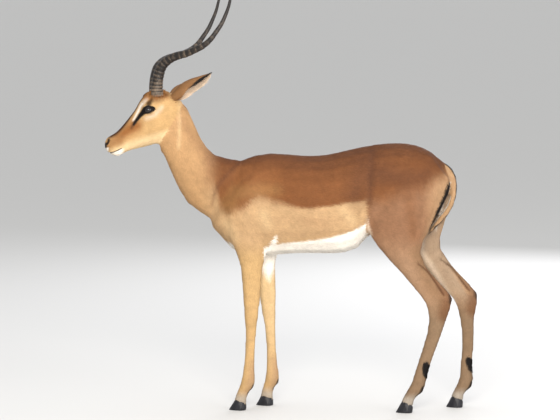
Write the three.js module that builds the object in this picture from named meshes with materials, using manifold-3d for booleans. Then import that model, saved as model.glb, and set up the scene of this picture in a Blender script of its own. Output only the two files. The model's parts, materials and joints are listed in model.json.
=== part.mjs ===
// An adult impala ram standing still, at life size. Millimetres, +Z up, the head towards -X and the
// animal's left side towards -Y. The body is swept from ribs, which are cross-sections that each
// join two points of the side outline, then united into one flesh solid and parted with thin cuts.
import * as THREE from 'three';
import { mergeVertices } from 'three/addons/utils/BufferGeometryUtils.js';
import Module from 'manifold-3d';

const wasm = await Module();
wasm.setup();

// Driving dimensions.
const GAP = 0.3; // between touching pieces
const HEAD_TURN = THREE.MathUtils.degToRad(14.5); // the head looks a little to its left
const HEAD_TILT = THREE.MathUtils.degToRad(4.5); // and tilts its right side down
const TURN_PIVOT = new THREE.Vector3(-230, 0, 1000); // what it turns and tilts about
const NECK_FOOT = new THREE.Vector3(-190, 0, 780); // where the turn of the neck begins
const NECK_TOP = new THREE.Vector3(-330, 0, 990); // where it is complete
const EYE = { x: -461, y: 44.5, z: 1025, radius: 17 };
const ORBIT = [27, 14, 22]; // half sizes of the rise around the eye
const FORE_Y = 60; // half the distance between the forefeet
const HIND_Y = 71; // and between the hind feet
const CLEFT = 2.4; // between the two claws of a foot
const GROUND_Z = -8; // where the soles are cut, in the frame of the tables below

const SIDES = { left: -1, right: 1 };

// How far each right leg stands behind the left one, as pairs of height and distance.
const FORE_STRIDE = [[0, 83], [800, 0], [1000, 0]];
const LEVEL = [[0, 0], [1000, 0]];
// The left hind cannon leans, and the right one stands straighter, so level cuts of it are shorter.
const HIND_SLIM = [[0, 1], [90, 0.97], [150, 0.88], [290, 0.86], [360, 0.93], [450, 1], [1000, 1]];
const EVEN = [[0, 1], [1000, 1]];
const HIND_STRIDE = [[0, 168], [80, 163], [210, 129], [300, 99], [400, 82], [500, 76], [600, 48],
  [700, 22], [860, 0], [1000, 0]];
const STRIDES = {
  [-1]: { fore: LEVEL, hind: LEVEL, slim: EVEN },
  1: { fore: FORE_STRIDE, hind: HIND_STRIDE, slim: HIND_SLIM },
};

// Heights and outlines of the cuts between the named parts, in the side view.
const FORELEG_CUT = 512;
const KNEE_CUT = 312;
const HOCK_CUT = 350;
const HEAD_CUT = [[-333, 1060], [-424, 907]];
const NECK_CUT = [[-126, 866], [-246, 642]];
const CORONET = [42, -13]; // the hoof's upper edge falls towards the heel
const FORE_CORONET = [-153, 24];
const HIND_CORONET = [423, 26];
const THIGH_BLOCK = [[302, -60], [302, 668], [620, 816], [900, 816], [900, -60]];
const SPAN = 4000; // larger than the animal

// Ribs: name, then x and z of the front or upper outline point, x and z of the back or lower one,
// half width, lateral centre, egg (above 0 is wider at the first point) and squareness.
const TRUNK = [
  ['breast tip', -241, 664, -241, 644, 14, 0, 0, 2],
  ['breast', -231, 703, -231, 617, 46, 0, 0, 2],
  ['brisket front', -207, 752, -203, 586, 68, 0, -0.05, 2],
  ['shoulder', -172, 814, -169, 547, 82, 0, -0.12, 2],
  ['withers front', -134, 853, -128, 527, 92, 0, -0.2, 2],
  ['withers', -86, 870, -83, 520, 100, 0, -0.22, 2.05],
  ['girth', -34, 877.5, -31, 522, 107, 0, -0.2, 2.1],
  ['ribs', 21, 875, 24, 528, 116, 0, -0.16, 2.15],
  ['barrel', 86, 870, 90, 531, 124, 0, -0.12, 2.2],
  ['last rib', 155, 873, 159, 531, 126, 0, -0.1, 2.2],
  ['loin', 224, 888, 221, 534, 121, 0, -0.08, 2.2],
  ['flank', 276, 900, 266, 549, 113, 0, -0.04, 2.15],
  ['hip', 331, 910, 303, 588, 108, 0, 0, 2.1],
  ['croup', 400, 915, 366, 628, 106, 0, 0.02, 2.1],
  ['rump', 462, 909, 444, 640, 104, 0, 0, 2.1],
  ['seat', 518, 886, 512, 668, 90, 0, 0, 2.05],
  ['tail root', 560, 852, 556, 707, 66, 0, 0, 2],
  ['rump end', 583, 812, 579, 756, 28, 0, 0, 2],
];
const NECK = [
  ['inside', -83, 786, -200, 607, 56, 0, 0, 2],
  ['base', -138, 852, -243, 647, 60, 0, 0.02, 2],
  ['low neck', -186, 860, -284, 674, 58, 0, 0.04, 2],
  ['lower', -228, 873, -322, 703, 54, 0, 0.05, 2],
  ['middle', -255, 900, -349, 747, 50, 0, 0.05, 2],
  ['upper middle', -276, 933, -367, 786, 47, 0, 0.04, 2],
  ['upper', -292, 969, -385, 827, 45, 0, 0.02, 2],
  ['throat', -309, 1007, -401, 863, 44, 0, 0, 2],
  ['nape', -322, 1034, -417, 889, 43, 0, 0, 2],
  ['poll', -341, 1058, -424, 924, 40, 0, 0, 2],
];
const HEAD = [
  ['nose tip', -608, 915, -607, 897, 9, 0, 0, 2],
  ['muzzle', -602, 929, -600, 886, 18, 0, 0.05, 2.2],
  ['nostrils', -590, 938.5, -584, 874, 24, 0, 0, 2.3],
  ['chin', -572, 948, -562, 868, 26, 0, -0.08, 2.3],
  ['behind lips', -555, 963, -541, 880, 27, 0, -0.05, 2.2],
  ['cheek front', -534, 988, -517, 889, 30, 0, 0, 2.1],
  ['face', -516, 1010, -490, 895, 34, 0, 0.04, 2.1],
  ['below eyes', -499, 1033, -462, 901, 41, 0, 0.12, 2.1],
  ['orbit front', -485, 1058, -438, 907, 47, 0, 0.22, 2.1],
  ['orbit', -465, 1082, -414, 911, 50, 0, 0.24, 2.1],
  ['horn base', -441, 1094, -391, 921, 50, 0, 0.18, 2.1],
  ['behind horns', -414, 1097, -369, 943, 48, 0, 0.1, 2.1],
  ['ear base', -386, 1090, -350, 972, 45, 0, 0.02, 2.1],
  ['back of skull', -359, 1072, -338, 1007, 36, 0, 0, 2],
  ['end', -341, 1050, -334, 1034, 12, 0, 0, 2],
];
const FORELEG = [
  ['blade top', -98, 836, -48, 838, 14, 36, 0, 2],
  ['blade', -134, 788, -36, 786, 27, 55, 0, 2],
  ['point of shoulder', -178, 722, -24, 712, 36, 65, 0, 2],
  ['upper arm', -188, 650, -18, 645, 40, 63, 0, 2],
  ['elbow', -166, 580, -27, 578, 37, 63, 0, 2],
  ['forearm top', -144, 529, -41, 530, 32, 63, 0, 2],
  ['forearm upper', -131, 488, -53, 488, 28, 63, 0.08, 2],
  ['forearm', -126, 433, -58, 433, 24, 62, 0.1, 2],
  ['forearm low', -122, 378, -62, 378, 20.5, 61, 0.1, 2.1],
  ['above knee', -119, 340, -68, 340, 19, 61, 0.06, 2.2],
  ['knee', -118, 315, -71, 311, 19, 61, 0.05, 2.3],
  ['below knee', -114, 279, -76, 274, 16.5, 61, 0, 2.2],
  ['cannon upper', -114, 237, -79, 234, 14.5, 61, 0, 2.1],
  ['cannon', -116, 187, -82, 184, 13.5, 60, 0, 2.1],
  ['cannon low', -121, 138, -83, 135, 15, 60, 0, 2.1],
  ['above fetlock', -126, 105, -81, 100, 18, 60, 0, 2.1],
  ['fetlock', -133, 78, -85, 73, 19.5, 60, 0, 2.1],
  ['pastern top', -142, 56, -102, 54, 17.5, 60, 0, 2.1],
  ['pastern', -148, 40, -111, 32, 17.5, 60, 0, 2.2],
  ['coronet', -153, 24, -111, 10, 20.5, 60, -0.1, 2.3],
  ['wall', -165, 5, -111, -3, 22.5, 60, -0.3, 2.2],
  ['sole', -176, -12, -114, -16, 23, 60, -0.42, 2.1],
];
const HINDLEG = [
  ['hip top', 402, 888, 522, 880, 12, 36, 0, 2],
  ['hip', 378, 862, 546, 850, 26, 50, 0, 2],
  ['upper thigh', 325, 795, 590, 798, 42, 64, -0.05, 2],
  ['thigh', 291, 716, 588, 748, 52, 62, -0.1, 2],
  ['mid thigh', 292, 657, 563, 694, 52, 61, -0.1, 2],
  ['stifle', 310, 605, 530, 636, 47, 62, -0.1, 2],
  ['leg top', 337, 566, 501, 586, 41, 64, -0.05, 2],
  ['gaskin upper', 375, 522, 490, 545, 34, 67, 0, 2],
  ['gaskin', 417, 478, 506, 501, 27, 69, 0.1, 2],
  ['gaskin low', 456, 433, 545, 453, 20.5, 71, 0.12, 2],
  ['above hock', 486, 397, 579, 417, 18, 71, 0.1, 2.1],
  ['hock', 506, 369, 598, 390, 19, 71, 0.1, 2.3],
  ['hock low', 515, 340, 592, 353, 18.5, 71, 0.05, 2.3],
  ['cannon top', 517, 304, 574, 301, 16, 71, 0, 2.2],
  ['cannon upper', 510, 262, 558, 253, 14.5, 71, 0, 2.1],
  ['cannon', 494, 206, 537, 195, 13.5, 71, 0, 2.1],
  ['cannon low', 475, 147, 517, 136, 15, 71, 0, 2.1],
  ['above fetlock', 461, 99, 508, 92, 18, 71, 0, 2.1],
  ['fetlock', 448, 74, 498, 64, 19, 71, 0, 2.1],
  ['pastern top', 438, 56, 476, 46, 17, 71, 0, 2.1],
  ['pastern', 430, 41, 466, 30, 17, 71, 0, 2.2],
  ['coronet', 423, 26, 465, 12, 20, 71, -0.1, 2.3],
  ['wall', 412, 6, 464, -3, 22, 71, -0.3, 2.2],
  ['sole', 401, -12, 461, -16, 22.5, 71, -0.42, 2.1],
];
const TAIL = [
  ['root', 570, 848, 556, 806, 17, 0, 0, 2],
  ['dock', 594, 830, 570, 790, 19, 0, 0, 2],
  ['bend', 608, 806, 580, 776, 20, 0, 0, 2],
  ['upper', 613, 776, 585, 760, 20, 0, 0, 2],
  ['middle', 611, 738, 584, 735, 21, 0, 0, 2],
  ['lower', 601, 700, 575, 707, 22, 0, 0, 2],
  ['low', 583, 667, 559, 681, 21, 0, 0, 2],
  ['hair', 559, 639, 538, 657, 17, 0, 0, 2],
  ['hair end', 537, 618, 523, 634, 11, 0, 0, 2],
  ['tip', 520, 603, 514, 611, 4, 0, 0, 2],
];
// Centre line of the left horn: x, distance from the middle, z, radius.
const HORN = [
  [-426, 27, 1068, 21], [-428, 30, 1095, 21.5], [-427, 34, 1121, 20.4], [-422, 40, 1149, 19.7],
  [-413, 49, 1174, 18.2], [-395, 62, 1193, 16.5], [-368, 81, 1207, 14.7], [-336, 102, 1215, 13.4],
  [-309, 121, 1226, 11.9], [-282, 136, 1240, 11], [-258, 146, 1261, 9.6], [-240, 151, 1285, 8.5],
  [-221, 153, 1313, 7.6], [-207, 152, 1342, 6.7], [-194, 148, 1375, 5.8], [-185, 143, 1411, 4.9],
  [-176, 137, 1447, 3.8], [-171, 131, 1484, 2.6], [-169, 126, 1512, 0.9],
];
const HORN_FLATNESS = 0.9; // width over depth of its section

// Each ear leans along its own line from the root, and opens down and back.
const EAR_ROOT = [-373, 40, 1067];
const EAR_LEAN = { left: [0.8, 0.34, 0.535], right: [0.7, 0.6, 0.4] };
const EAR_OPEN = [0.45, 0.35, -0.75];
const EAR_LENGTH = 165;
const EAR_SAG = [[0, 0], [0.25, 5], [0.5, 11], [0.75, 13], [0.9, 7], [1, 0]]; // below that line
const EAR_RADIUS = [[0, 15], [0.12, 22], [0.28, 31], [0.48, 34], [0.64, 30.5], [0.8, 21],
  [0.92, 9.5], [1, 1.6]];
const EAR_WRAP = [[0, 165], [0.15, 140], [0.35, 104], [0.6, 94], [1, 80]]; // half angle, degrees
const EAR_THICK = 3.4;

// Finishes.
const COAT = { color: 0xb07845, roughness: 0.75 };
const HOOF = { color: 0x1d1a1b, roughness: 0.45 };
const HORN_FINISH = { color: 0x3d362f, roughness: 0.5 };
const EYE_FINISH = { color: 0x0d0a09, roughness: 0.1 };

// Straight-line interpolation in a short table of [key, value].
function lookUp(table, key) {
  const found = table.findIndex(([k]) => k > key);
  const i = found < 0 ? table.length - 1 : Math.max(1, found);
  const [[k0, v0], [k1, v1]] = [table[i - 1], table[i]];
  return v0 + ((v1 - v0) * (key - k0)) / (k1 - k0);
}

// Smooth interpolation of rows of numbers: every row is met, and rows further apart than the spacing
// get more between them. centreOf gives a row's place, which sets the distances.
function refineRows(rows, spacing, centreOf) {
  const knots = [0];
  rows.slice(1).forEach((row, i) => {
    knots.push(knots[i] + Math.max(centreOf(row).distanceTo(centreOf(rows[i])), 1));
  });
  const slope = (i, k) => {
    const [a, b] = [Math.max(i - 1, 0), Math.min(i + 1, rows.length - 1)];
    return (rows[b][k] - rows[a][k]) / (knots[b] - knots[a]);
  };
  const fine = rows.slice(1).flatMap((next, i) => {
    const gap = knots[i + 1] - knots[i];
    const steps = Math.ceil(gap / spacing);
    return Array.from({ length: steps }, (_, step) => {
      const t = step / steps;
      return rows[i].map((value, k) => value * (1 + 2 * t) * (1 - t) ** 2
        + slope(i, k) * gap * t * (1 - t) ** 2
        + next[k] * t * t * (3 - 2 * t)
        + slope(i + 1, k) * gap * t * t * (t - 1));
    });
  });
  return [...fine, rows.at(-1)];
}

// The side faces between rings of equal length.
function ringFaces(rings) {
  const sides = rings[0].length;
  return rings.slice(1).flatMap((ring, r) => ring.flatMap((_, k) => {
    const [a, b] = [r * sides + k, r * sides + ((k + 1) % sides)];
    return [a, b, b + sides, a, b + sides, a + sides];
  }));
}

function geometryOf(points, faces) {
  const geometry = new THREE.BufferGeometry().setFromPoints(points);
  geometry.setIndex(faces);
  return geometry;
}

// A closed geometry through rings, each end closed to the middle of its ring.
function closedLoft(rings) {
  const sides = rings[0].length;
  const count = rings.length * sides;
  const faces = ringFaces(rings);
  const middle = (ring) => ring.reduce((sum, p) => sum.add(p), new THREE.Vector3())
    .divideScalar(sides);
  for (let k = 0; k < sides; k += 1) {
    const next = (k + 1) % sides;
    faces.push(count, next, k);
    faces.push(count + 1, count - sides + k, count - sides + next);
  }
  return geometryOf([...rings.flat(), middle(rings[0]), middle(rings.at(-1))], faces);
}

// A closed geometry through folded rings: each ring runs out along one face of a curved sheet and
// back along the other, so the ends are closed by pairs across the sheet.
function closedSheet(rings) {
  const sides = rings[0].length;
  const faces = ringFaces(rings);
  [0, (rings.length - 1) * sides].forEach((start, end) => {
    for (let k = 0; k < sides / 2 - 1; k += 1) {
      const quad = [start + k, start + k + 1, start + sides - 2 - k, start + sides - 1 - k];
      const [a, b, c, d] = end ? quad : quad.reverse();
      faces.push(a, b, c, a, c, d);
    }
  });
  return geometryOf(rings.flat(), faces);
}

// A manifold-3d solid from a closed geometry, turned to face outwards.
function solidOf(geometry) {
  const bare = geometry.clone();
  bare.deleteAttribute('normal');
  bare.deleteAttribute('uv');
  const merged = mergeVertices(bare, 1e-3);
  const make = (triVerts) => new wasm.Manifold(new wasm.Mesh({
    numProp: 3,
    vertProperties: merged.attributes.position.array,
    triVerts,
  }));
  const triangles = new Uint32Array(merged.index.array);
  const solid = make(triangles);
  return solid.volume() > 0 ? solid : make(triangles.reverse());
}

// What lies on the normal's side of a plane, set back from it by half the gap.
function keepSide(solid, point, normal, gap = GAP) {
  const box = new THREE.BoxGeometry(SPAN, SPAN, SPAN);
  box.translate(0, 0, (SPAN + gap) / 2);
  box.applyQuaternion(new THREE.Quaternion()
    .setFromUnitVectors(new THREE.Vector3(0, 0, 1), normal.clone().normalize()));
  box.translate(...point.toArray());
  return solid.intersect(solidOf(box));
}

const above = (solid, z) => keepSide(solid, new THREE.Vector3(0, 0, z), new THREE.Vector3(0, 0, 1));
const below = (solid, z) => keepSide(solid, new THREE.Vector3(0, 0, z), new THREE.Vector3(0, 0, -1));
const beside = (solid, y, side) => keepSide(
  solid, new THREE.Vector3(0, y, 0), new THREE.Vector3(0, side, 0));

// Parts a solid along a line in the side view. The first piece lies on the line's left hand, as one
// goes from its first point to its second.
function split(solid, [[ax, az], [bx, bz]], place = (p) => p) {
  const a = place(new THREE.Vector3(ax, 0, az));
  const across = place(new THREE.Vector3(ax, 10, az)).sub(a);
  const normal = place(new THREE.Vector3(bx, 0, bz)).sub(a).cross(across);
  return [keepSide(solid, a, normal), keepSide(solid, a, normal.clone().negate())];
}

// A block with the given outline in the side view, from y0 to y1.
function sideBlock(outline, y0, y1) {
  const shape = new THREE.Shape(outline.map(([x, z]) => new THREE.Vector2(x, z)));
  const block = new THREE.ExtrudeGeometry(shape, { depth: y1 - y0, bevelEnabled: false });
  block.rotateX(Math.PI / 2); // the outline's plane becomes XZ and the depth runs to -Y
  block.translate(0, y1, 0);
  return solidOf(block);
}

// The head and neck look to the left and tilt: each point turns by more, the further it lies along
// the neck.
function turned(point) {
  const along = NECK_TOP.clone().sub(NECK_FOOT);
  const share = point.clone().sub(NECK_FOOT).dot(along) / along.lengthSq();
  const amount = THREE.MathUtils.smoothstep(share, 0, 1);
  return point.clone().sub(TURN_PIVOT)
    .applyAxisAngle(new THREE.Vector3(1, 0, 0), -HEAD_TILT * amount)
    .applyAxisAngle(new THREE.Vector3(0, 0, 1), HEAD_TURN * amount)
    .add(TURN_PIVOT);
}

// One cross-section: an egg-shaped ring in the plane of its two outline points and the Y axis.
function ribRing([fx, fz, bx, bz, half, y, egg, square], { sides, side, grow, slim }) {
  const front = new THREE.Vector3(fx, 0, fz);
  const back = new THREE.Vector3(bx, 0, bz);
  const centre = front.clone().add(back).multiplyScalar(0.5);
  const reach = front.sub(back).multiplyScalar(0.5);
  reach.setLength(reach.length() * lookUp(slim, centre.z) + grow);
  const round = (v) => Math.sign(v) * Math.abs(v) ** (2 / square);
  return Array.from({ length: sides }, (_, k) => {
    const angle = (2 * Math.PI * (k + 0.5)) / sides;
    const [across, up] = [round(Math.cos(angle)), round(Math.sin(angle))];
    const lateral = side * y + across * (half + grow) * (1 + egg * up);
    return centre.clone().addScaledVector(reach, up).setY(lateral);
  });
}

// A part of the body swept through its ribs. side is -1 for left, 1 for right, 0 for the middle.
function sweep(ribs, { sides, spacing, side = 0, grow = 0, stride = LEVEL, slim = EVEN,
  place = (p) => p }) {
  const rows = refineRows(ribs.map(([, ...numbers]) => numbers), spacing, ([fx, fz, bx, bz]) => (
    new THREE.Vector3(fx + bx, 0, fz + bz).multiplyScalar(0.5)));
  const rings = rows.map((row) => ribRing(row, { sides, side, grow, slim }).map((point) => (
    place(point.setX(point.x + lookUp(stride, Math.max(point.z, 0)))))));
  return solidOf(closedLoft(rings));
}

// One ear: a leaf rolled into a cup, as a sheet between an outer and an inner arc.
function earSolid(name, grow) {
  const side = SIDES[name];
  const mirrored = ([x, y, z]) => new THREE.Vector3(x, y * side, z);
  const along = mirrored(EAR_LEAN[name]).normalize();
  const open = mirrored(EAR_OPEN);
  open.addScaledVector(along, -open.dot(along)).normalize();
  const across = new THREE.Vector3().crossVectors(along, open);
  const [steps, arc] = [10, 7];
  const rings = Array.from({ length: steps + 1 }, (_, i) => {
    const t = i / steps;
    const wrap = THREE.MathUtils.degToRad(lookUp(EAR_WRAP, t));
    const radius = lookUp(EAR_RADIUS, t);
    const inner = Math.max(radius - EAR_THICK * (1 - 0.5 * t), 0.4) - grow;
    const centre = mirrored(EAR_ROOT).addScaledVector(along, EAR_LENGTH * t)
      .addScaledVector(open, lookUp(EAR_SAG, t));
    const angles = Array.from({ length: arc }, (__, k) => wrap * ((2 * k) / (arc - 1) - 1));
    const at = (angle, reach) => turned(centre.clone()
      .addScaledVector(open, -reach * Math.cos(angle))
      .addScaledVector(across, reach * Math.sin(angle)));
    return [...angles.map((angle) => at(angle, radius + grow)),
      ...angles.reverse().map((angle) => at(angle, Math.max(inner, 0.2)))];
  });
  return solidOf(closedSheet(rings));
}

// One horn: rings square to its S-curved centre line.
function hornSolid(side, grow) {
  const rows = refineRows(HORN, 36, ([x, y, z]) => new THREE.Vector3(x, y, z));
  const centres = rows.map(([x, y, z]) => new THREE.Vector3(x, side * y, z));
  const sides = 8;
  const rings = rows.map(([, , , radius], i) => {
    const tangent = centres[Math.min(i + 1, rows.length - 1)].clone()
      .sub(centres[Math.max(i - 1, 0)]).normalize();
    const out = new THREE.Vector3(0, 1, 0).addScaledVector(tangent, -tangent.y).normalize();
    const front = new THREE.Vector3().crossVectors(tangent, out);
    return Array.from({ length: sides }, (_, k) => {
      const angle = (2 * Math.PI * k) / sides;
      return turned(centres[i].clone()
        .addScaledVector(out, (HORN_FLATNESS * radius + grow) * Math.cos(angle))
        .addScaledVector(front, (radius + grow) * Math.sin(angle)));
    });
  });
  return solidOf(closedLoft(rings));
}

function ellipsoid(side, [rx, ry, rz]) {
  const ball = new THREE.SphereGeometry(1, 14, 8);
  ball.scale(rx, ry, rz);
  ball.rotateX(-HEAD_TILT).rotateZ(HEAD_TURN);
  ball.translate(...turned(new THREE.Vector3(EYE.x, side * EYE.y, EYE.z)).toArray());
  return solidOf(ball);
}
const eyeball = (side, radius) => ellipsoid(side, [radius, radius, radius]);

const tailSolid = (grow) => sweep(TAIL, { sides: 10, spacing: 40, grow });

// The whole flesh, before it is parted.
function fleshSolid() {
  let flesh = sweep(TRUNK, { sides: 20, spacing: 60 })
    .add(sweep(NECK, { sides: 16, spacing: 50, place: turned }))
    .add(sweep(HEAD, { sides: 16, spacing: 26, place: turned }));
  Object.values(SIDES).forEach((side) => {
    const { fore, hind, slim } = STRIDES[side];
    flesh = flesh.add(sweep(FORELEG, { sides: 12, spacing: 60, side, stride: fore }))
      .add(sweep(HINDLEG, { sides: 12, spacing: 60, side, stride: hind, slim }))
      .add(ellipsoid(side, ORBIT));
  });
  Object.entries(SIDES).forEach(([name, side]) => {
    flesh = flesh.subtract(eyeball(side, EYE.radius + GAP))
      .subtract(hornSolid(side, GAP))
      .subtract(earSolid(name, GAP));
  });
  return flesh.subtract(tailSolid(GAP));
}

// A foot: the leg above its coronet, and two claws below it on their flat soles.
function addFoot(pieces, name, lower, [x, z], shift, y) {
  const start = [x + shift, z];
  const [leg, hoof] = split(lower, [start, [start[0] + CORONET[0], z + CORONET[1]]]);
  const ground = new THREE.Vector3(0, 0, GROUND_Z);
  const standing = keepSide(hoof, ground, new THREE.Vector3(0, 0, 1), 0);
  pieces.set(`${name}_lower`, [leg, COAT]);
  Object.entries({ outer: Math.sign(y), inner: -Math.sign(y) }).forEach(([claw, side]) => {
    pieces.set(`${name}_claw_${claw}`, [beside(standing, y + (side * CLEFT) / 2, side), HOOF]);
  });
}

// Parts the flesh into the named pieces.
function partFlesh(flesh, pieces) {
  const grown = THIGH_BLOCK.map(([x, z]) => [x < 400 ? x - GAP : x, z > 600 ? z + GAP : z]);
  const body = flesh.subtract(sideBlock(grown, -SPAN / 2, SPAN / 2));
  const thighs = {
    left: flesh.intersect(sideBlock(THIGH_BLOCK, -SPAN / 2, -GAP / 2)),
    right: flesh.intersect(sideBlock(THIGH_BLOCK, GAP / 2, SPAN / 2)),
  };
  const [behindHead, head] = split(above(body, FORELEG_CUT), HEAD_CUT, turned);
  const [trunk, neck] = split(behindHead, NECK_CUT, turned);
  pieces.set('head', [head, COAT]);
  pieces.set('neck', [neck, COAT]);
  pieces.set('trunk', [trunk, COAT]);
  const forelegs = below(body, FORELEG_CUT);
  Object.entries(SIDES).forEach(([name, side]) => {
    const { fore, hind } = STRIDES[side];
    const foreleg = beside(forelegs, 0, side);
    const hindleg = thighs[name];
    pieces.set(`foreleg_${name}_upper`, [above(foreleg, KNEE_CUT), COAT]);
    pieces.set(`hindleg_${name}_upper`, [above(hindleg, HOCK_CUT), COAT]);
    addFoot(pieces, `foreleg_${name}`, below(foreleg, KNEE_CUT), FORE_CORONET,
      lookUp(fore, FORE_CORONET[1]), side * FORE_Y);
    addFoot(pieces, `hindleg_${name}`, below(hindleg, HOCK_CUT), HIND_CORONET,
      lookUp(hind, HIND_CORONET[1]), side * HIND_Y);
  });
}

const pieces = new Map(); // each name with its solid and finish
partFlesh(fleshSolid(), pieces);
pieces.set('tail', [tailSolid(0), COAT]);
Object.entries(SIDES).forEach(([name, side]) => {
  pieces.set(`ear_${name}`, [earSolid(name, 0), COAT]);
  pieces.set(`eye_${name}`, [eyeball(side, EYE.radius), EYE_FINISH]);
  pieces.set(`horn_${name}`, [hornSolid(side, 0), HORN_FINISH]);
});

const impala = new THREE.Group();
pieces.forEach(([solid, { color, roughness }], name) => {
  const { vertProperties, triVerts } = solid.getMesh();
  const geometry = new THREE.BufferGeometry()
    .setAttribute('position', new THREE.BufferAttribute(vertProperties, 3))
    .setIndex(new THREE.BufferAttribute(triVerts, 1));
  const mesh = new THREE.Mesh(
    geometry, new THREE.MeshStandardMaterial({ color, roughness, metalness: 0 }));
  mesh.name = name;
  impala.add(mesh);
});

// The origin is on the ground, below the middle of the outline.
const outline = new THREE.Box3().setFromObject(impala);
const middle = outline.getCenter(new THREE.Vector3());
impala.position.set(-middle.x, -middle.y, -GROUND_Z);

export default impala;
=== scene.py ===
# %% [markdown]
# # A standing antelope ram, finished in Blender
# The imported model is a faceted animal in named parts. It is the frame for everything here: the looks are
# built inside it, and it is never moved. `cad_box` is kept so that no hair reaches out of it.

# %% Load the frame
import json
import math

import bmesh
import bpy
import numpy as np
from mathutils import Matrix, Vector
from mathutils.bvhtree import BVHTree

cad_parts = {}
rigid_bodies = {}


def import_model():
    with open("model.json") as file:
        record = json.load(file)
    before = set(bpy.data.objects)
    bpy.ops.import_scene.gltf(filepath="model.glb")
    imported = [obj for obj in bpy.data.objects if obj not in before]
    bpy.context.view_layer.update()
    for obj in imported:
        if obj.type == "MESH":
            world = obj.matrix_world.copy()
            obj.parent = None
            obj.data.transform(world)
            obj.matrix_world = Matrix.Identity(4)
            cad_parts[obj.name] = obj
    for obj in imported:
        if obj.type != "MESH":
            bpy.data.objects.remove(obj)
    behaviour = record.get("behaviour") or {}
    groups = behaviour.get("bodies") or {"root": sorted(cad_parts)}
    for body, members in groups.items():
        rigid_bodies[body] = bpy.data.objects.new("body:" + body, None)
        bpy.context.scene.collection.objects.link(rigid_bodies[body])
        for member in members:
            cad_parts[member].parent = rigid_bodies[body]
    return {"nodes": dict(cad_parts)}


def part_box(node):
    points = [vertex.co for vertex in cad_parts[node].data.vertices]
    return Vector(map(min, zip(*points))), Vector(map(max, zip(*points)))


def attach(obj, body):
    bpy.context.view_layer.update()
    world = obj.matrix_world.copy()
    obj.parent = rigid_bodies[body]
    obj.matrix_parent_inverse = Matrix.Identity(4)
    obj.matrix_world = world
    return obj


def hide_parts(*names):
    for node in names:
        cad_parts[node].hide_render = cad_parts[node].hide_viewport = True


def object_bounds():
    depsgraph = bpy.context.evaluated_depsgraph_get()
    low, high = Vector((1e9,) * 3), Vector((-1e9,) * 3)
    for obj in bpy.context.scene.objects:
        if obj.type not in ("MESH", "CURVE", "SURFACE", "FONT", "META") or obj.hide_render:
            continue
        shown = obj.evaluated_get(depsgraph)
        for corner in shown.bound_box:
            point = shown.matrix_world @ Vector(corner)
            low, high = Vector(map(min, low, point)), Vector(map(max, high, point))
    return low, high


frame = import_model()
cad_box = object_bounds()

MM = 0.001
rng = np.random.default_rng(11)
print("nodes:", len(frame["nodes"]), "box:", cad_box)

# %% [markdown]
# ## Working on a straight animal
# A sculptor would model the head looking straight ahead, where both sides are alike, and turn it last.
# The two eye boxes say how far the head is turned and tilted, so every CAD point can be turned back into
# a straight frame in millimetres, and every finished point can be turned out again. Modelling in the
# turned head would work too, but each mark and fold would need a left and a right version.

# %% The straight frame
trunk_lo, trunk_hi = (np.array(corner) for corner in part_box("trunk"))
BREAST_X = -0.2422  # the front of the trunk, from the point between the forefeet
SOLE_DROP = 0.008  # the straight frame's zero height lies this far above the floor
ORIGIN = np.array([trunk_lo[0] - BREAST_X, (trunk_lo[1] + trunk_hi[1]) / 2, SOLE_DROP])


def middle(node):
    lo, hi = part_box(node)
    return (np.array(lo) + np.array(hi)) / 2


def unit(v):
    """A vector, or each row of an array, at length one."""
    return v / np.maximum(np.linalg.norm(v, axis=-1, keepdims=True), 1e-6)


ACROSS = unit(middle("eye_right") - middle("eye_left"))
HEAD_TURN = math.atan2(-ACROSS[0], ACROSS[1])
HEAD_TILT = math.asin(-ACROSS[2])
PIVOT = np.array([-230.0, 0, 1000])  # what the head turns about
NECK_FOOT = np.array([-190.0, 0, 780])  # where the turn of the neck begins
NECK_TOP = np.array([-330.0, 0, 990])  # and where it is complete
CORRECTIONS = 8  # rounds, after which far less than a hundredth of a millimetre is left


def smooth(x, a, b):
    """Rises from 0 at a to 1 at b, without a kink."""
    t = np.clip((x - a) / (b - a), 0, 1)
    return t * t * (3 - 2 * t)


def falls(x, a, b):
    """Falls from 1 at a to 0 at b."""
    return smooth(-x, -b, -a)


def turn_share(s):
    """How much of the head's turn a place takes part in."""
    along = NECK_TOP - NECK_FOOT
    return smooth((s - NECK_FOOT) @ along / (along @ along), 0, 1)


def rotated(v, share, back=False):
    """Vectors tilted and then turned by a share of the head's angles, or brought back from it."""
    turn, tilt = HEAD_TURN * share, -HEAD_TILT * share
    x, y, z = v.T
    if back:
        x, y = np.cos(turn) * x + np.sin(turn) * y, np.cos(turn) * y - np.sin(turn) * x
        return np.stack([x, np.cos(tilt) * y + np.sin(tilt) * z, np.cos(tilt) * z - np.sin(tilt) * y], 1)
    y, z = np.cos(tilt) * y - np.sin(tilt) * z, np.cos(tilt) * z + np.sin(tilt) * y
    return np.stack([np.cos(turn) * x - np.sin(turn) * y, np.cos(turn) * y + np.sin(turn) * x, z], 1)


def posed(s):
    """Straight millimetres to the frame's metres."""
    return (rotated(s - PIVOT, turn_share(s)) + PIVOT) * MM + ORIGIN


def straight(world):
    """The frame's metres to straight millimetres, by a few rounds of correction."""
    turned = (world - ORIGIN) / MM
    s = turned
    for _ in range(CORRECTIONS):
        s = rotated(turned - PIVOT, turn_share(s), back=True) + PIVOT
    return s


probe = np.array([[-500.0, 30, 950], [-250, 20, 880], [300, 80, 500]])
print("head turned", round(math.degrees(HEAD_TURN), 1), "tilted", round(math.degrees(HEAD_TILT), 1),
      "round trip error", float(abs(straight(posed(probe)) - probe).max()))

# %% [markdown]
# ## Points in and out of meshes
# The skin has nearly ninety thousand points. Moving and painting them one by one would take minutes, so
# they are copied to an array, changed by a few array sums and copied back.

# %% Array helpers
LEFT, RIGHT = -1, 1
SIDES = {"left": LEFT, "right": RIGHT}


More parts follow.
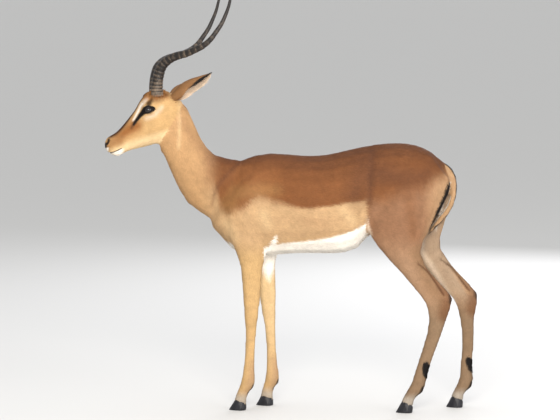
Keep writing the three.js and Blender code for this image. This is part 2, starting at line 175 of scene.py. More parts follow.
def points_of(mesh):
    flat = np.empty(len(mesh.vertices) * 3)
    mesh.vertices.foreach_get("co", flat)
    return flat.reshape(-1, 3)


def put_points(mesh, points):
    mesh.vertices.foreach_set("co", points.ravel())
    mesh.update()


def normals_of(mesh):
    flat = np.empty(len(mesh.vertices) * 3)
    mesh.vertex_normals.foreach_get("vector", flat)
    return flat.reshape(-1, 3)


def edges_of(mesh):
    flat = np.empty(len(mesh.edges) * 2, dtype=int)
    mesh.edges.foreach_get("vertices", flat)
    return flat.reshape(-1, 2)


print("array helpers ready")

# %% [markdown]
# ## A workbench for shapes
# A shape is started and cut with bmesh operators and then becomes a mesh. A modifier works on an object
# instead, so its result is read from the evaluated object. Both ways end as plain meshes, which can be
# joined, measured and painted.

# %% Mesh helpers
def mesh_from(bm, name):
    mesh = bpy.data.meshes.new(name)
    bm.to_mesh(mesh)
    bm.free()
    return mesh


def sealed(bm, name):
    """The mesh of a bmesh whose holes are filled and whose faces point outwards."""
    bmesh.ops.holes_fill(bm, edges=[edge for edge in bm.edges if edge.is_boundary])
    bmesh.ops.recalc_face_normals(bm, faces=bm.faces)
    return mesh_from(bm, name)


def joined(meshes, name):
    bm = bmesh.new()
    for mesh in meshes:
        bm.from_mesh(mesh)
        bpy.data.meshes.remove(mesh)
    return mesh_from(bm, name)


def piece(name, mesh, material=None):
    obj = bpy.data.objects.new(name, mesh)
    bpy.context.scene.collection.objects.link(obj)
    if material:
        mesh.materials.append(material)
    return obj


def evaluated(obj):
    """The object's mesh with its modifiers applied, in place of the object."""
    graph = bpy.context.evaluated_depsgraph_get()
    mesh = bpy.data.meshes.new_from_object(obj.evaluated_get(graph))
    bpy.data.objects.remove(obj)
    return mesh


def remeshed(mesh, voxel):
    """The surface in voxels of a size in millimetres. The modifier itself works in metres."""
    put_points(mesh, points_of(mesh) * MM)
    obj = piece("remesh", mesh)
    remesh = obj.modifiers.new("Voxels", "REMESH")
    remesh.mode = "VOXEL"
    remesh.voxel_size = voxel * MM
    mesh = evaluated(obj)
    put_points(mesh, points_of(mesh) / MM)
    return mesh


print("mesh helpers ready")

# %% [markdown]
# ## The skin
# Under the coat is one skin, from the lips to the edge of the hooves. The parts of flesh are copied, laid
# straight, joined with plugs for the eye sockets and horn holes, and remeshed in voxels, which melts them
# into one closed surface. Lofting a skin by hand would give cleaner loops, but it would have to repeat
# the whole construction. The voxel surface is relaxed, which also rounds off the facets.

# %% Gather the flesh
LEGS = [f"{leg}_{side}" for leg in ("foreleg", "hindleg") for side in SIDES]
FLESH = ["head", "neck", "trunk", "tail"] + [f"{leg}_{part}" for leg in LEGS for part in ("upper", "lower")]
OVERLAP = 0.5  # parts are grown by this, so that they run into each other
SKIN_VOXEL = 6.0
STUB_TOP = 1092  # the horn plugs end here, and are sunk into the head later
EAR_ROOT = np.array([-373.0, 40, 1067])
EAR_BUTT = 17.0  # the round muscle that the ear grows from


def node_copy(name, grow=0.0):
    """A merged copy of a CAD node, straight and in millimetres, grown a little."""
    bm = bmesh.new()
    bm.from_mesh(bpy.data.objects[name].data)
    bmesh.ops.remove_doubles(bm, verts=bm.verts, dist=1e-6)
    bmesh.ops.recalc_face_normals(bm, faces=bm.faces)
    mesh = mesh_from(bm, name + "_copy")
    put_points(mesh, straight(points_of(mesh)))
    put_points(mesh, points_of(mesh) + normals_of(mesh) * grow)
    return mesh


def stub(name):
    """The foot of a horn, as a plug for its hole in the flesh."""
    bm = bmesh.new()
    bm.from_mesh(node_copy(name, OVERLAP))
    bmesh.ops.bisect_plane(bm, geom=bm.verts[:] + bm.edges[:] + bm.faces[:], plane_co=(0, 0, STUB_TOP),
                           plane_no=(0, 0, 1), clear_outer=True)
    return sealed(bm, "stub")


def ear_butt(side):
    """The round base that an ear grows from."""
    bm = bmesh.new()
    bmesh.ops.create_icosphere(bm, subdivisions=3, radius=EAR_BUTT)
    bmesh.ops.translate(bm, verts=bm.verts, vec=EAR_ROOT * [1, side, 1])
    return mesh_from(bm, "butt")


body = joined([node_copy(name, OVERLAP) for name in FLESH]
              + [node_copy("eye_" + side, OVERLAP) for side in SIDES]
              + [stub("horn_" + side) for side in SIDES]
              + [ear_butt(side) for side in SIDES.values()], "body")
body = remeshed(body, SKIN_VOXEL)
print("skin:", len(body.vertices), "points,", len(body.polygons), "faces")

# %% [markdown]
# ## Smoothing without shrinking
# Plain smoothing pulls every point to the middle of its neighbours, which wears thin legs away. Taubin's
# way follows each pull with a slightly stronger push back: small bumps go, and the bulk stays.

# %% Smoothing helper
def relaxed(points, edges, rounds, weight=None, forward=0.6, backward=-0.63):
    """Rounds of a pull to the neighbours' middle and a push back, by a weight at each point."""
    a, b = edges.T
    count = len(points)
    valence = np.maximum(np.bincount(a, minlength=count) + np.bincount(b, minlength=count), 1)
    weight = np.ones(count) if weight is None else weight
    for _ in range(rounds):
        for step in (forward, backward):
            total = np.stack([np.bincount(a, points[b, k], count) + np.bincount(b, points[a, k], count)
                              for k in range(3)], 1)
            points = points + (total / valence[:, None] - points) * (step * weight)[:, None]
    return points


FIRST_ROUNDS = 40  # to melt the joints between the parts
S = relaxed(points_of(body), edges_of(body), FIRST_ROUNDS)
put_points(body, S)
print("smoothed", len(S), "points")

# %% [markdown]
# ## Finer where it matters
# A trunk needs few points and an eyelid many. A finer voxel everywhere would waste most of them, so the
# edges of the head, the lower legs and then the features of the face are subdivided, and each new patch
# is relaxed.

# %% Refine
EYE = np.array([-461.0, 44.5, 1025])  # |y| stands for both sides
EYE_RADIUS = 17.0
NOSE = np.array([-602.0, 12, 905])
MOUTH_CORNER = np.array([-553.0, 24, 892])
HEAD_REAR, HEAD_FLOOR = -395, 850  # in front of and above these a point belongs to the head
LOW_LEG = 100  # the pasterns and fetlocks


def mirrored(s):
    """The same points with their distance from the mid-plane in place of y."""
    return np.stack([s[:, 0], abs(s[:, 1]), s[:, 2]], 1)


def near(s, place, radius):
    return np.linalg.norm(mirrored(s) - place, axis=1) < radius


def refine(mesh, chosen):
    """Subdivides the edges between chosen points once."""
    bm = bmesh.new()
    bm.from_mesh(mesh)
    bm.verts.ensure_lookup_table()
    mark = bm.verts.layers.int.new("patch")
    for vert, choice in zip(bm.verts, chosen):
        vert[mark] = int(choice)
    edges = [edge for edge in bm.edges if edge.verts[0][mark] and edge.verts[1][mark]]
    bmesh.ops.subdivide_edges(bm, edges=edges, cuts=1, use_grid_fill=True)
    return mesh_from(bm, "body")


def head_and_feet(s):
    return ((s[:, 0] < HEAD_REAR) & (s[:, 2] > HEAD_FLOOR)) | (s[:, 2] < LOW_LEG)


def eyes_and_muzzle(s):
    muzzle = near(s, NOSE, 26) | near(s, MOUTH_CORNER, 24) | near(s, NOSE - [30, 0, 10], 44)
    return near(s, EYE, 34) | muzzle


def lids_and_nostrils(s):
    return near(s, EYE, 25) | near(s, NOSE + [6, 2, 6], 14)


for chosen_of, rounds in ((head_and_feet, 12), (eyes_and_muzzle, 6), (lids_and_nostrils, 4)):
    body = refine(body, chosen_of(points_of(body)))
    S = points_of(body)
    S = relaxed(S, edges_of(body), rounds, weight=chosen_of(S).astype(float))
    put_points(body, S)
triangles = sum(len(polygon.vertices) - 2 for polygon in body.polygons)
print("skin:", len(S), "points,", triangles, "triangles")

# %% [markdown]
# ## Which part is a point on?
# Coat length, lie and marks differ between a head and a leg. Each skin point takes the name of the
# nearest CAD part. The right legs stand further back than the left ones, so their points are also
# written as if on a left leg, and every mark on a leg is then given once.

# %% Parts and leg frames
HEAD, NECK, TRUNK, FORE, HIND, TAIL, EAR = range(7)
PART_OF = {"head": HEAD, "neck": NECK, "trunk": TRUNK, "foreleg": FORE, "hindleg": HIND, "tail": TAIL,
           "ear": EAR}
STRIDES = {  # how far a right leg stands behind the left one, at some heights
    FORE: ([0, 800], [83, 0]),
    HIND: ([0, 80, 210, 300, 400, 500, 600, 700, 860], [168, 163, 129, 99, 82, 76, 48, 22, 0]),
}


def part_finder(names):
    """A function that says which of the named CAD parts is the nearest to each point."""
    bm, parts = bmesh.new(), []
    for name in names:
        mesh = node_copy(name)
        bm.from_mesh(mesh)
        parts += [PART_OF[name.split("_")[0]]] * len(mesh.polygons)
    tree = BVHTree.FromBMesh(bm)
    return lambda s: np.array([parts[tree.find_nearest(point)[2]] for point in s])


def leg_frame(s, part):
    """Straight points with |y|, and with the right legs brought forward beside the left ones."""
    out = mirrored(s)
    right = s[:, 1] > 0
    for limb, (heights, shifts) in STRIDES.items():
        shift = np.interp(s[:, 2], heights, shifts)
        out[:, 0] -= np.where(right & (part == limb), shift, 0)
    return out


EARS = ["ear_" + side for side in SIDES]
part = part_finder(FLESH)(S)
print("points of each part:", np.bincount(part, minlength=7))

# %% [markdown]
# ## The coat's depth
# The CAD outline is the tip of the coat, so the skin is drawn inwards by the coat's depth: a few
# millimetres on the trunk, about one on the face and feet. The tail has the longest hair, so its skin
# shrinks to a core as well. Leaving the skin at the outline would push every tuft out of the frame.

# %% Draw the skin in
TAIL_LINE = np.array([[563, 827], [582, 810], [594, 791], [599, 768], [598, 736], [588, 703], [571, 674],
                      [549, 648], [530, 626], [517, 607]], float)


def coat_depth(s, part):
    """How deep the skin lies under the tip of the coat."""
    by_height = np.interp(s[:, 2], [0, 60, 330, 520, 640], [1.2, 1.2, 1.5, 2.2, 2.8])
    by_reach = np.interp(s[:, 0], [-600, -540, -460, -400, -330], [0.9, 1.1, 1.4, 2.0, 2.8])
    return np.where(part == HEAD, by_reach, np.where(part == NECK, 2.8, by_height))


def to_path(s, path):
    """Each point's distance from a path, its share along it and the nearest point of it."""
    best, share, foot = np.full(len(s), np.inf), np.zeros(len(s)), np.zeros_like(s)
    pieces = list(zip(path[:-1], path[1:])) or [(path[0], path[0] + 1e-6)]
    for i, (a, b) in enumerate(pieces):
        t = np.clip((s - a) @ (b - a) / ((b - a) @ (b - a)), 0, 1)
        at = a + t[:, None] * (b - a)
        distance = np.linalg.norm(s - at, axis=1)
        closer = distance < best
        best, share = np.where(closer, distance, best), np.where(closer, (i + t) / len(pieces), share)
        foot = np.where(closer[:, None], at, foot)
    return best, share, foot


S = S - normals_of(body) * coat_depth(S, part)[:, None]
on_tail = part == TAIL
_, share, foot = to_path(S[:, [0, 2]], TAIL_LINE)
TAIL_CORE = 0.8  # the share of the tail's thickness that is skin
core = np.stack([foot[:, 0], np.zeros(len(S)), foot[:, 1]], 1)
pull = np.where(on_tail, (1 - TAIL_CORE) * smooth(share, 0, 0.15), 0)
S = S + (core - S) * pull[:, None]
put_points(body, S)
print("skin drawn in by", coat_depth(S, part).min(), "to", coat_depth(S, part).max(), "mm")

# %% [markdown]
# ## Muscle, bone and tendon
# Under short hair the shoulder blade, the haunch, the joints and the great tendon of the hock all show.
# Each is pressed out or in along a short path, with a width and a height, as a thumb stroke in clay is.
# Sculpting by hand would do as well, but a stroke in a table can be read, moved and made weaker.

# %% Forms of the body and legs
BODY_FORMS = [  # side view: path of x and z, width, height
    ([(-160, 822), (-205, 765), (-232, 705), (-230, 668)], 15, -4.0),  # where the neck meets the shoulder
    ([(-75, 845), (-120, 760), (-150, 700)], 22, 1.8),  # spine of the shoulder blade
    ([(-15, 850), (-35, 760), (-45, 700)], 24, -2.0),  # behind the blade
    ([(-62, 650), (-45, 610)], 38, 2.2),  # triceps
    ([(-150, 640), (-110, 600), (-60, 575), (-22, 578)], 14, -1.6),
    ([(-176, 705)], 24, 2.0),  # point of the shoulder
    ([(-30, 574)], 13, 2.0),  # elbow
    ([(317, 893), (304, 805), (297, 717), (290, 660)], 16, -3.2),  # front of the haunch
    ([(332, 866)], 20, 1.6),  # hip bone
    ([(430, 770), (450, 700)], 60, 2.0),  # thigh
    ([(528, 800), (508, 720), (484, 640), (472, 600)], 14, -1.6),  # in front of the hamstring
    ([(284, 672), (291, 630), (300, 592)], 11, -2.6),  # fold of the flank
    ([(322, 640)], 26, 2.0),  # stifle
    ([(-345, 880), (-300, 800), (-262, 720)], 12, -1.6),  # groove of the throat
]
LEG_FORMS = {
    FORE: [
        ([(-118, 500), (-112, 400)], 10, 1.2),
        ([(-95, 520), (-88, 400), (-86, 350)], 7, -1.3),
        ([(-96, 312)], 13, 1.2),  # knee
        ([(-71, 318)], 9, 1.6),
        ([(-88, 280), (-93, 200), (-99, 125)], 5, -1.5),  # between cannon bone and tendons
        ([(-97, 76)], 12, 0.9),  # fetlock
    ],
    HIND: [
        ([(430, 512), (455, 470)], 22, 1.6),
        ([(500, 486), (530, 447), (558, 412), (571, 396)], 8, -3.4),  # in front of the great tendon
        ([(590, 383)], 11, 1.6),  # point of the hock
        ([(545, 362)], 16, 1.2),
        ([(568, 374)], 8, -1.6),
        ([(556, 330), (541, 258), (520, 200), (500, 140)], 5, -1.5),
        ([(472, 70)], 12, 0.9),
    ],
}
FORM_SIDE, FORM_FLOOR = 25, 540  # the body's forms start this far from the mid-plane and this high
RIB_STEP = 27.0
RIB_HEIGHT = 0.2
RIB_SLOPE = 0.3  # how far a rib leans forwards for each millimetre of height


def stroke(s, path, width, height):
    """The height of a soft ridge, or a groove if it is below 0, along a path."""
    distance, _, _ = to_path(s, np.array(path, float))
    return height * np.exp(-(distance / width) ** 2)


S = points_of(body)
normal = normals_of(body)
flat = leg_frame(S, part)
side_on = abs(normal[:, 1])
press = sum(stroke(flat[:, [0, 2]], *form) for form in BODY_FORMS)
press = press * (abs(S[:, 1]) > FORM_SIDE) * (S[:, 2] > FORM_FLOOR)
for limb, forms in LEG_FORMS.items():
    press = press + sum(stroke(flat[:, [0, 2]], *form) for form in forms) * (part == limb)
ribs = RIB_HEIGHT * np.cos(2 * np.pi * (S[:, 0] + RIB_SLOPE * (S[:, 2] - 700)) / RIB_STEP)
ribs = ribs * smooth(S[:, 0], 20, 60) * falls(S[:, 0], 180, 220)
press = (press + ribs * smooth(S[:, 2], 590, 620) * falls(S[:, 2], 760, 800)) * side_on
S = S + normal * press[:, None]
put_points(body, S)
print("pressed by", press.min().round(2), "to", press.max().round(2), "mm")

# %% [markdown]
# ## The face
# The head gets the most care. Bones, nostrils and lips are strokes too, with a place in depth, and both
# sides take the same ones. A side view is enough for the mouth, because it runs round the whole muzzle.

# %% Forms of the face
FACE_FORMS = [
    ([(-488, 38, 1000), (-450, 47, 996), (-405, 45, 1003)], 8, 1.6),  # cheek bone
    ([(-506, 34, 984)], 14, -1.6),  # hollow in front of the eye
    ([(-486, 38, 1044), (-462, 48, 1051), (-440, 49, 1045)], 8, 1.3),  # brow
    ([(-428, 44, 1040), (-408, 44, 1035)], 12, -2.0),  # hollow of the temple
    ([(-430, 44, 962)], 32, 1.8),  # chewing muscle
    ([(-492, 30, 960), (-470, 34, 922)], 12, -1.3),
    ([(-560, 24, 926)], 14, -1.0),  # waist of the muzzle
    ([(-604, 15, 917), (-595, 20, 928), (-582, 21, 927)], 5, 1.8),  # wing of the nostril
    ([(-600, 12, 893), (-575, 22, 899)], 6, 1.0),  # upper lip
    ([(-578, 10, 872)], 9, 1.0),  # chin
    ([(-609, 7, 901), (-605, 14, 909), (-596, 19, 921)], 2.7, -5.5),  # nostril
    ([(-613, 0, 908), (-611, 0, 884)], 2.0, -1.4),  # groove of the upper lip
]
MOUTH = [(-614, 878.5), (-600, 880), (-584, 881.5), (-567, 888), (-553, 895)]
MOUTH_WIDTH, MOUTH_DEPTH = 1.9, -3.2

S = points_of(body)
normal = normals_of(body)
face = mirrored(S)
press = sum(stroke(face, *form) for form in FACE_FORMS)
press = press + stroke(S[:, [0, 2]], MOUTH, MOUTH_WIDTH, MOUTH_DEPTH)
S = S + normal * np.where(part == HEAD, press, 0)[:, None]
put_points(body, S)
print("face pressed by", press.min().round(2), "to", press.max().round(2), "mm")

# %% [markdown]
# ## Collars
# A horn grows out of a low collar of haired skin. The skin beside each horn's foot is lifted a little and
# pushed off the horn, and the plug that filled its hole is sunk out of sight. Cutting a hole in the skin
# would leave an open rim that has to be closed again.

# %% Collars round the horns
COLLAR_RISE = 6  # how far the skin climbs each horn
COLLAR_TOP = 1069  # the skin ends under the horn at this height
COLLAR = 22.5  # the least distance of the skin from the horn's middle line
HORN_FOOT = np.array([-427.0, 27, 1062])
HORN_SPLAY = 0.08  # how far the foot leans outwards for each millimetre of height


def horn_reach(s):
    """Distance from the middle of the nearer horn's foot, seen from above."""
    away = mirrored(s) - HORN_FOOT
    return np.hypot(away[:, 0], away[:, 1] - HORN_SPLAY * away[:, 2])


S = points_of(body)
reach = horn_reach(S)
climb = falls(reach, 20, 35) * smooth(S[:, 2], 1030, 1046) * (part == HEAD)
S[:, 2] -= np.maximum(S[:, 2] - COLLAR_TOP, 0) * falls(reach, 24, 34)
S[:, 2] += COLLAR_RISE * climb * falls(S[:, 2], COLLAR_TOP - 9, COLLAR_TOP + 1)
beside = mirrored(S) - HORN_FOOT
spread = np.maximum(COLLAR - reach, 0) * 0.9 * smooth(reach, 2, 12) * climb / np.maximum(reach, 1)
S[:, 0] += beside[:, 0] * spread
S[:, 1] += beside[:, 1] * spread * np.where(S[:, 1] < 0, -1, 1)
S = relaxed(S, edges_of(body), 2, weight=smooth(climb, 0, 0.2) * 0.5)
put_points(body, S)
print("collar points:", int((climb > 0.01).sum()))

# %% [markdown]
# ## Lids
# The lids are made in two steps. The skin is first laid over the eyeball, a lid's thickness above it,
# with a fold round both lids. Then an almond is cut out of it by a boolean, which gives a crisp edge of
# true thickness. Moving points to an almond outline would leave a ragged edge.

# %% Lids
GAZE = unit(np.array([-0.30, 0.94, 0.10]))
SLIT_TILT = math.radians(11)  # the eye's long axis rises towards the ear
LONG = np.array([math.cos(SLIT_TILT), 0, math.sin(SLIT_TILT)])
LONG = unit(LONG - GAZE * (LONG @ GAZE))
SHORT = np.cross(GAZE, LONG)
LID = 1.7
SLIT_HALF = (14.6, 10.6)  # half length and half height of the opening
CREASE_ANGLE, RIM_ANGLE = 1.12, 0.85  # from the gaze, in radians
LID_FALL = 9  # how far the skin sinks beside the eyeball
LID_SPREAD = (21, 29)  # the lids are whole within the first distance and end at the second


def lid_reach(angle):
    """The lids' distance from the eye's middle, falling away beside the eyeball."""
    return EYE_RADIUS + LID - LID_FALL * smooth(angle, 1.15, 1.9)


def eye_frame(s):
    """Direction from the eye's middle as shares of gaze, long and short axis, and the distance."""
    away = mirrored(s) - EYE
    distance = np.linalg.norm(away, axis=1)
    return away / distance[:, None] @ np.stack([GAZE, LONG, SHORT], 1), distance


S = points_of(body)
direction, distance = eye_frame(S)
angle = np.arccos(np.clip(direction[:, 0], -1, 1))
crease = 1.3 * np.exp(-((angle - CREASE_ANGLE) / 0.10) ** 2)  # the fold that frames both lids
rim = 0.7 * np.exp(-((angle - RIM_ANGLE) / 0.12) ** 2)
target = np.maximum(lid_reach(angle), distance) - crease + rim
blend = falls(distance, *LID_SPREAD) * (part == HEAD)
away = mirrored(S) - EYE
moved = EYE + away * (target / distance)[:, None]
moved[:, 1] *= np.where(S[:, 1] < 0, -1, 1)
S = S + (moved - S) * blend[:, None]
S = relaxed(S, edges_of(body), 2, weight=blend * 0.6)
put_points(body, S)
print("lid points:", int((blend > 0.5).sum()))

# %% [markdown]
# ## The slits
# The cutter is a closed tube: an almond inside the eyeball that flares out past the lids, so that the
# rims of the cut face the eyeball as real lids do. A straight cutter would leave slanted rims. The same
# helper makes the ears, the horns and the lashes later.

# %% Cut the eye slits
def boolean(mesh, cutter, operation):
    obj, tool = piece("cut", mesh), piece("cutter", cutter)
    cut = obj.modifiers.new("Cut", "BOOLEAN")
    cut.operation = operation
    cut.solver = "EXACT"
    cut.object = tool
    result = evaluated(obj)
    bpy.data.objects.remove(tool)
    return result


def tube(rings, name):
    """A closed tube: a capped circle, extruded from ring to ring."""
    bm = bmesh.new()
    order = bm.verts.layers.int.new("order")
    bmesh.ops.create_circle(bm, cap_ends=True, segments=len(rings[0]), radius=1)
    bm.faces.ensure_lookup_table()
    cap = bm.faces[0]
    for k, vert in enumerate(bm.verts):
        vert[order] = k
        vert.co = rings[0][k]
    for ring in rings[1:]:
        made = bmesh.ops.extrude_discrete_faces(bm, faces=[cap])["faces"]
        cap = made[0]
        for vert in cap.verts:
            vert.co = ring[vert[order]]
    return sealed(bm, name)


def turns(count):
    """The angles of a ring of points."""
    return np.arange(count) * 2 * np.pi / count


SLIT_POINTS = 44
CUT_FROM, CUT_TO, CUT_ON = 8.0, 24.0, 16.0  # the cutter flares from inside the eyeball, then runs on


def slit_ring(side, reach, t=turns(SLIT_POINTS)):
    """The almond's outline, seen from the eye's middle, at a distance from it."""
    long, short = SLIT_HALF
    along = long * np.cos(t)
    up = short * np.sign(np.sin(t)) * abs(np.sin(t)) ** 1.25
    out = np.sqrt(np.maximum(EYE_RADIUS ** 2 - along ** 2 - up ** 2, 1))
    ring = out[:, None] * GAZE + along[:, None] * LONG + up[:, None] * SHORT
    ring = EYE + ring * (reach / EYE_RADIUS)
    ring[:, 1] *= side
    return ring


for side in SIDES.values():
    rings = [slit_ring(side, CUT_FROM), slit_ring(side, CUT_TO)]
    rings.append(rings[1] + CUT_ON * GAZE * [1, side, 1])
    body = boolean(body, tube(rings, "slit"), "DIFFERENCE")
S = points_of(body)
print("skin with eye slits:", len(S), "points")

# %% [markdown]
# ## Ears
# An ear is a leaf rolled into a cup, about two millimetres thick. It is a tube through folded rings: each
# ring runs out along the back of the ear and returns along its inside. A flat leaf with a Solidify
# modifier would be thin enough too, but would need rolling afterwards. The ears are united with the skin,
# and the joint is relaxed so that it flows into the head.

# %% Make and join the ears
EAR_LEAN = {"left": (0.8, 0.34, 0.535), "right": (0.7, 0.6, 0.4)}
EAR_OPEN = np.array([0.45, 0.35, -0.75])
EAR_LENGTH = 160.0
EAR_SAG = [(0, 0), (0.25, 5), (0.5, 11), (0.75, 13), (0.9, 7), (1, 0)]
EAR_RADIUS = [(0, 15), (0.12, 22), (0.28, 31), (0.48, 34), (0.64, 30.5), (0.8, 21), (0.92, 9.5), (1, 1.4)]
EAR_WRAP = [(0, 165), (0.15, 140), (0.35, 104), (0.6, 94), (1, 80)]  # half angle in degrees
EAR_THICK = 2.2
EAR_COAT = 0.9


def curve_through(t, knots):
    """Smooth interpolation in a short table whose rows are a key and one or more values."""
    knots = np.array(knots, float)
    key, rows = knots[:, 0], knots[:, 1:]
    slope = np.gradient(rows, key, axis=0)
    i = np.clip(np.searchsorted(key, t, side="right") - 1, 0, len(key) - 2)
    gap = (key[i + 1] - key[i])[:, None]
    u = (np.asarray(t) - key[i])[:, None] / gap
    return (rows[i] * (1 + 2 * u) * (1 - u) ** 2 + slope[i] * gap * u * (1 - u) ** 2
            + rows[i + 1] * u * u * (3 - 2 * u) + slope[i + 1] * gap * u * u * (u - 1))


def ear_axes(name):
    """The ear's root, and its directions along, out of its opening and across."""
    flip = np.array([1, SIDES[name], 1])
    along = unit(np.array(EAR_LEAN[name]) * flip)
    opening = EAR_OPEN * flip
    opening = unit(opening - along * (opening @ along))
    return EAR_ROOT * flip, along, opening, np.cross(along, opening)


def ear_rings(name, steps=40, arc=17):
    """Folded rings from the ear's root to its tip: out along its back, home along its inside."""
    root, along, opening, across = ear_axes(name)
    t = np.linspace(0, 1, steps) ** 0.9
    sag, radius, wrap = (curve_through(t, knots)[:, 0] for knots in (EAR_SAG, EAR_RADIUS, EAR_WRAP))
    rings = []
    for i, share in enumerate(t):
        centre = root + along * EAR_LENGTH * share + opening * sag[i]
        turn = np.linspace(-1, 1, arc)
        thick = EAR_THICK * (1 - 0.5 * share) * (1 - 0.6 * turn ** 4)
        outer = np.full(arc, max(radius[i] - EAR_COAT, 0.6))
        folds = 0.7 * np.cos(7 * turn) * smooth(share, 0.1, 0.3) * falls(share, 0.6, 0.9)
        inner = np.maximum(outer - thick + folds * (1 - turn ** 2), 0.3)
        angle = np.radians(wrap[i]) * turn
        reach = np.concatenate([outer, inner[::-1]])
        angle = np.concatenate([angle, angle[::-1]])
        rings.append(centre - np.outer(np.cos(angle) * reach, opening)
                     + np.outer(np.sin(angle) * reach, across))
    return rings


for name in SIDES:
    body = boolean(body, tube(ear_rings(name), "ear"), "UNION")
S = points_of(body)
from_root = np.linalg.norm(mirrored(S) - EAR_ROOT, axis=1)
S = relaxed(S, edges_of(body), 5, weight=falls(from_root, 24, 34))
put_points(body, S)
part = part_finder(FLESH + EARS)(S)
print("skin with ears:", len(S), "points", np.bincount(part))

# %% [markdown]
# ## Horns
# Each horn is a tube along an S-curved line, with the rings a ram grows on the lower two thirds: ridges
# that are strongest in front and fade before the smooth tip. The ridges are real shape, a change of
# radius from row to row, because they show on the outline.

# %% Horn shape
HORN = [  # x, distance from the middle, z, radius
    (-426, 27, 1062, 20.5), (-427, 28, 1072, 21), (-428, 30, 1095, 21.5), (-427, 34, 1121, 20.4),
    (-422, 40, 1149, 19.7), (-413, 49, 1174, 18.2), (-395, 62, 1193, 16.5), (-368, 81, 1207, 14.7),
    (-336, 102, 1215, 13.4), (-309, 121, 1226, 11.9), (-282, 136, 1240, 11), (-258, 146, 1261, 9.6),
    (-240, 151, 1285, 8.5), (-221, 153, 1313, 7.6), (-207, 152, 1342, 6.7), (-194, 148, 1375, 5.8),
    (-185, 143, 1411, 4.9), (-176, 137, 1447, 3.8), (-171, 131, 1484, 2.6), (-169, 126, 1511, 0.9)]
HORN_FLATNESS = 0.9
RING_GAP = [(0, 9), (150, 17), (300, 24), (470, 27)]  # from ring to ring, by distance up the horn
RINGED = 400.0  # the last ring
RING_DEPTH = 0.15  # of the radius, in front
HORN_SIDES, HORN_ROW = 24, 2.2
HORN_CLEAR = 0.3


def paint(mesh, name, values):
    """A colour, or one value, at every point of a mesh."""
    values = np.asarray(values, float)
    if values.ndim == 1:
        values = values[:, None].repeat(3, 1)
    layer = mesh.color_attributes.new(name=name, type="FLOAT_COLOR", domain="POINT")
    layer.data.foreach_set("color", np.column_stack([values, np.ones(len(values))]).ravel())


def horn_mesh(side):
    """A ringed horn: flattened ellipses along its line, drawn in between the rings."""
    knots = np.array(HORN, float)
    steps = np.linalg.norm(np.diff(knots[:, :3], axis=0), axis=1)
    run = np.concatenate([[0], np.cumsum(steps)])
    up = np.arange(0, run[-1], HORN_ROW)
    rows = curve_through(up, np.column_stack([run, knots]))
    centres = rows[:, :3] * [1, side, 1]
    phase = np.cumsum(HORN_ROW / curve_through(up, RING_GAP)[:, 0]) % 1
    ridge = (0.35 + 0.65 * phase) * smooth(1 - phase, 0, 0.16)
    fade = smooth(up, 8, 26) * falls(up, RINGED - 110, RINGED)
    hollow = (1 - ridge) * fade
    tangents = np.gradient(centres, axis=0)
    rings = []
    for centre, tangent, radius, depth in zip(centres, tangents, rows[:, 3], hollow):
        tangent = unit(tangent)
        out = unit(np.array([0, side, 0]) - tangent * tangent[1] * side)
        front = np.cross(out, tangent) * side
        turn = turns(HORN_SIDES)
        strength = 0.60 + 0.40 * np.sin(turn)
        reach = radius * (1 - RING_DEPTH * depth * strength) - HORN_CLEAR
        rings.append(centre + np.outer(HORN_FLATNESS * reach * np.cos(turn), out)
                     + np.outer(reach * np.sin(turn), front))
    mesh = tube(rings, "horn")
    # how dark the horn is: painted shade in the hollows between the rings, more along the tip, least at the
    # foot
    wear_and_shade = 1.25 * hollow + 0.55 * smooth(up, 280, 420) - 0.5 * falls(up, 20, 90)
    paint(mesh, "hollow", np.repeat(wear_and_shade, HORN_SIDES))
    return mesh


horns = {name: horn_mesh(side) for name, side in SIDES.items()}
print("horn faces:", len(horns["left"].polygons))

# %% [markdown]
# ## Hooves
# Each foot stands on two claws. A claw is remeshed from its CAD solid with a narrower core standing in
# it, which reaches up into the foot, and smoothed. A bevel would round every facet alike; a voxel
# surface rounds the whole claw, and its sole is pressed flat on the floor again.

# %% Hoof shape
CLAWS = [f"{leg}_claw_{claw}" for leg in LEGS for claw in ("outer", "inner")]
FLOOR = -SOLE_DROP / MM  # the floor in straight millimetres
CLAW_VOXEL = 1.7
CLAW_CLEAR = 0.3  # how far the claw stays inside the CAD solid
CORE_SIZE = [0.8, 0.8, 1]
CORE_SHIFT = [1.5, 0, 7]  # back and up into the foot
SOLE_EDGE = 1.2  # what lies lower than this is pressed flat


def claw_mesh(name):
    """A rounded claw with a flat sole and a core that stands up into the foot."""
    outer, core = node_copy(name, -CLAW_CLEAR), node_copy(name, -CLAW_CLEAR)
    points = points_of(core)
    centre = points.mean(0)
    put_points(core, (points - centre) * CORE_SIZE + centre + CORE_SHIFT)
    mesh = remeshed(joined([outer, core], name), CLAW_VOXEL)
    points = relaxed(points_of(mesh), edges_of(mesh), 10)
    points[:, 2] = np.where(points[:, 2] < FLOOR + SOLE_EDGE, FLOOR, points[:, 2])
    put_points(mesh, points)
    return mesh


claws = {name: claw_mesh(name) for name in CLAWS}
print("claw points:", [len(mesh.vertices) for mesh in claws.values()])

# %% [markdown]
# ## Eyes
# An eye is a sphere with the low dome of the cornea on it, which is what bends the catchlight. A plain
# sphere is quicker and looks like a bead.

# %% Eye shape
CORNEA, CORNEA_RISE = 0.62, 0.9  # the dome's half angle in radians and its height
EYE_CLEAR = 0.25


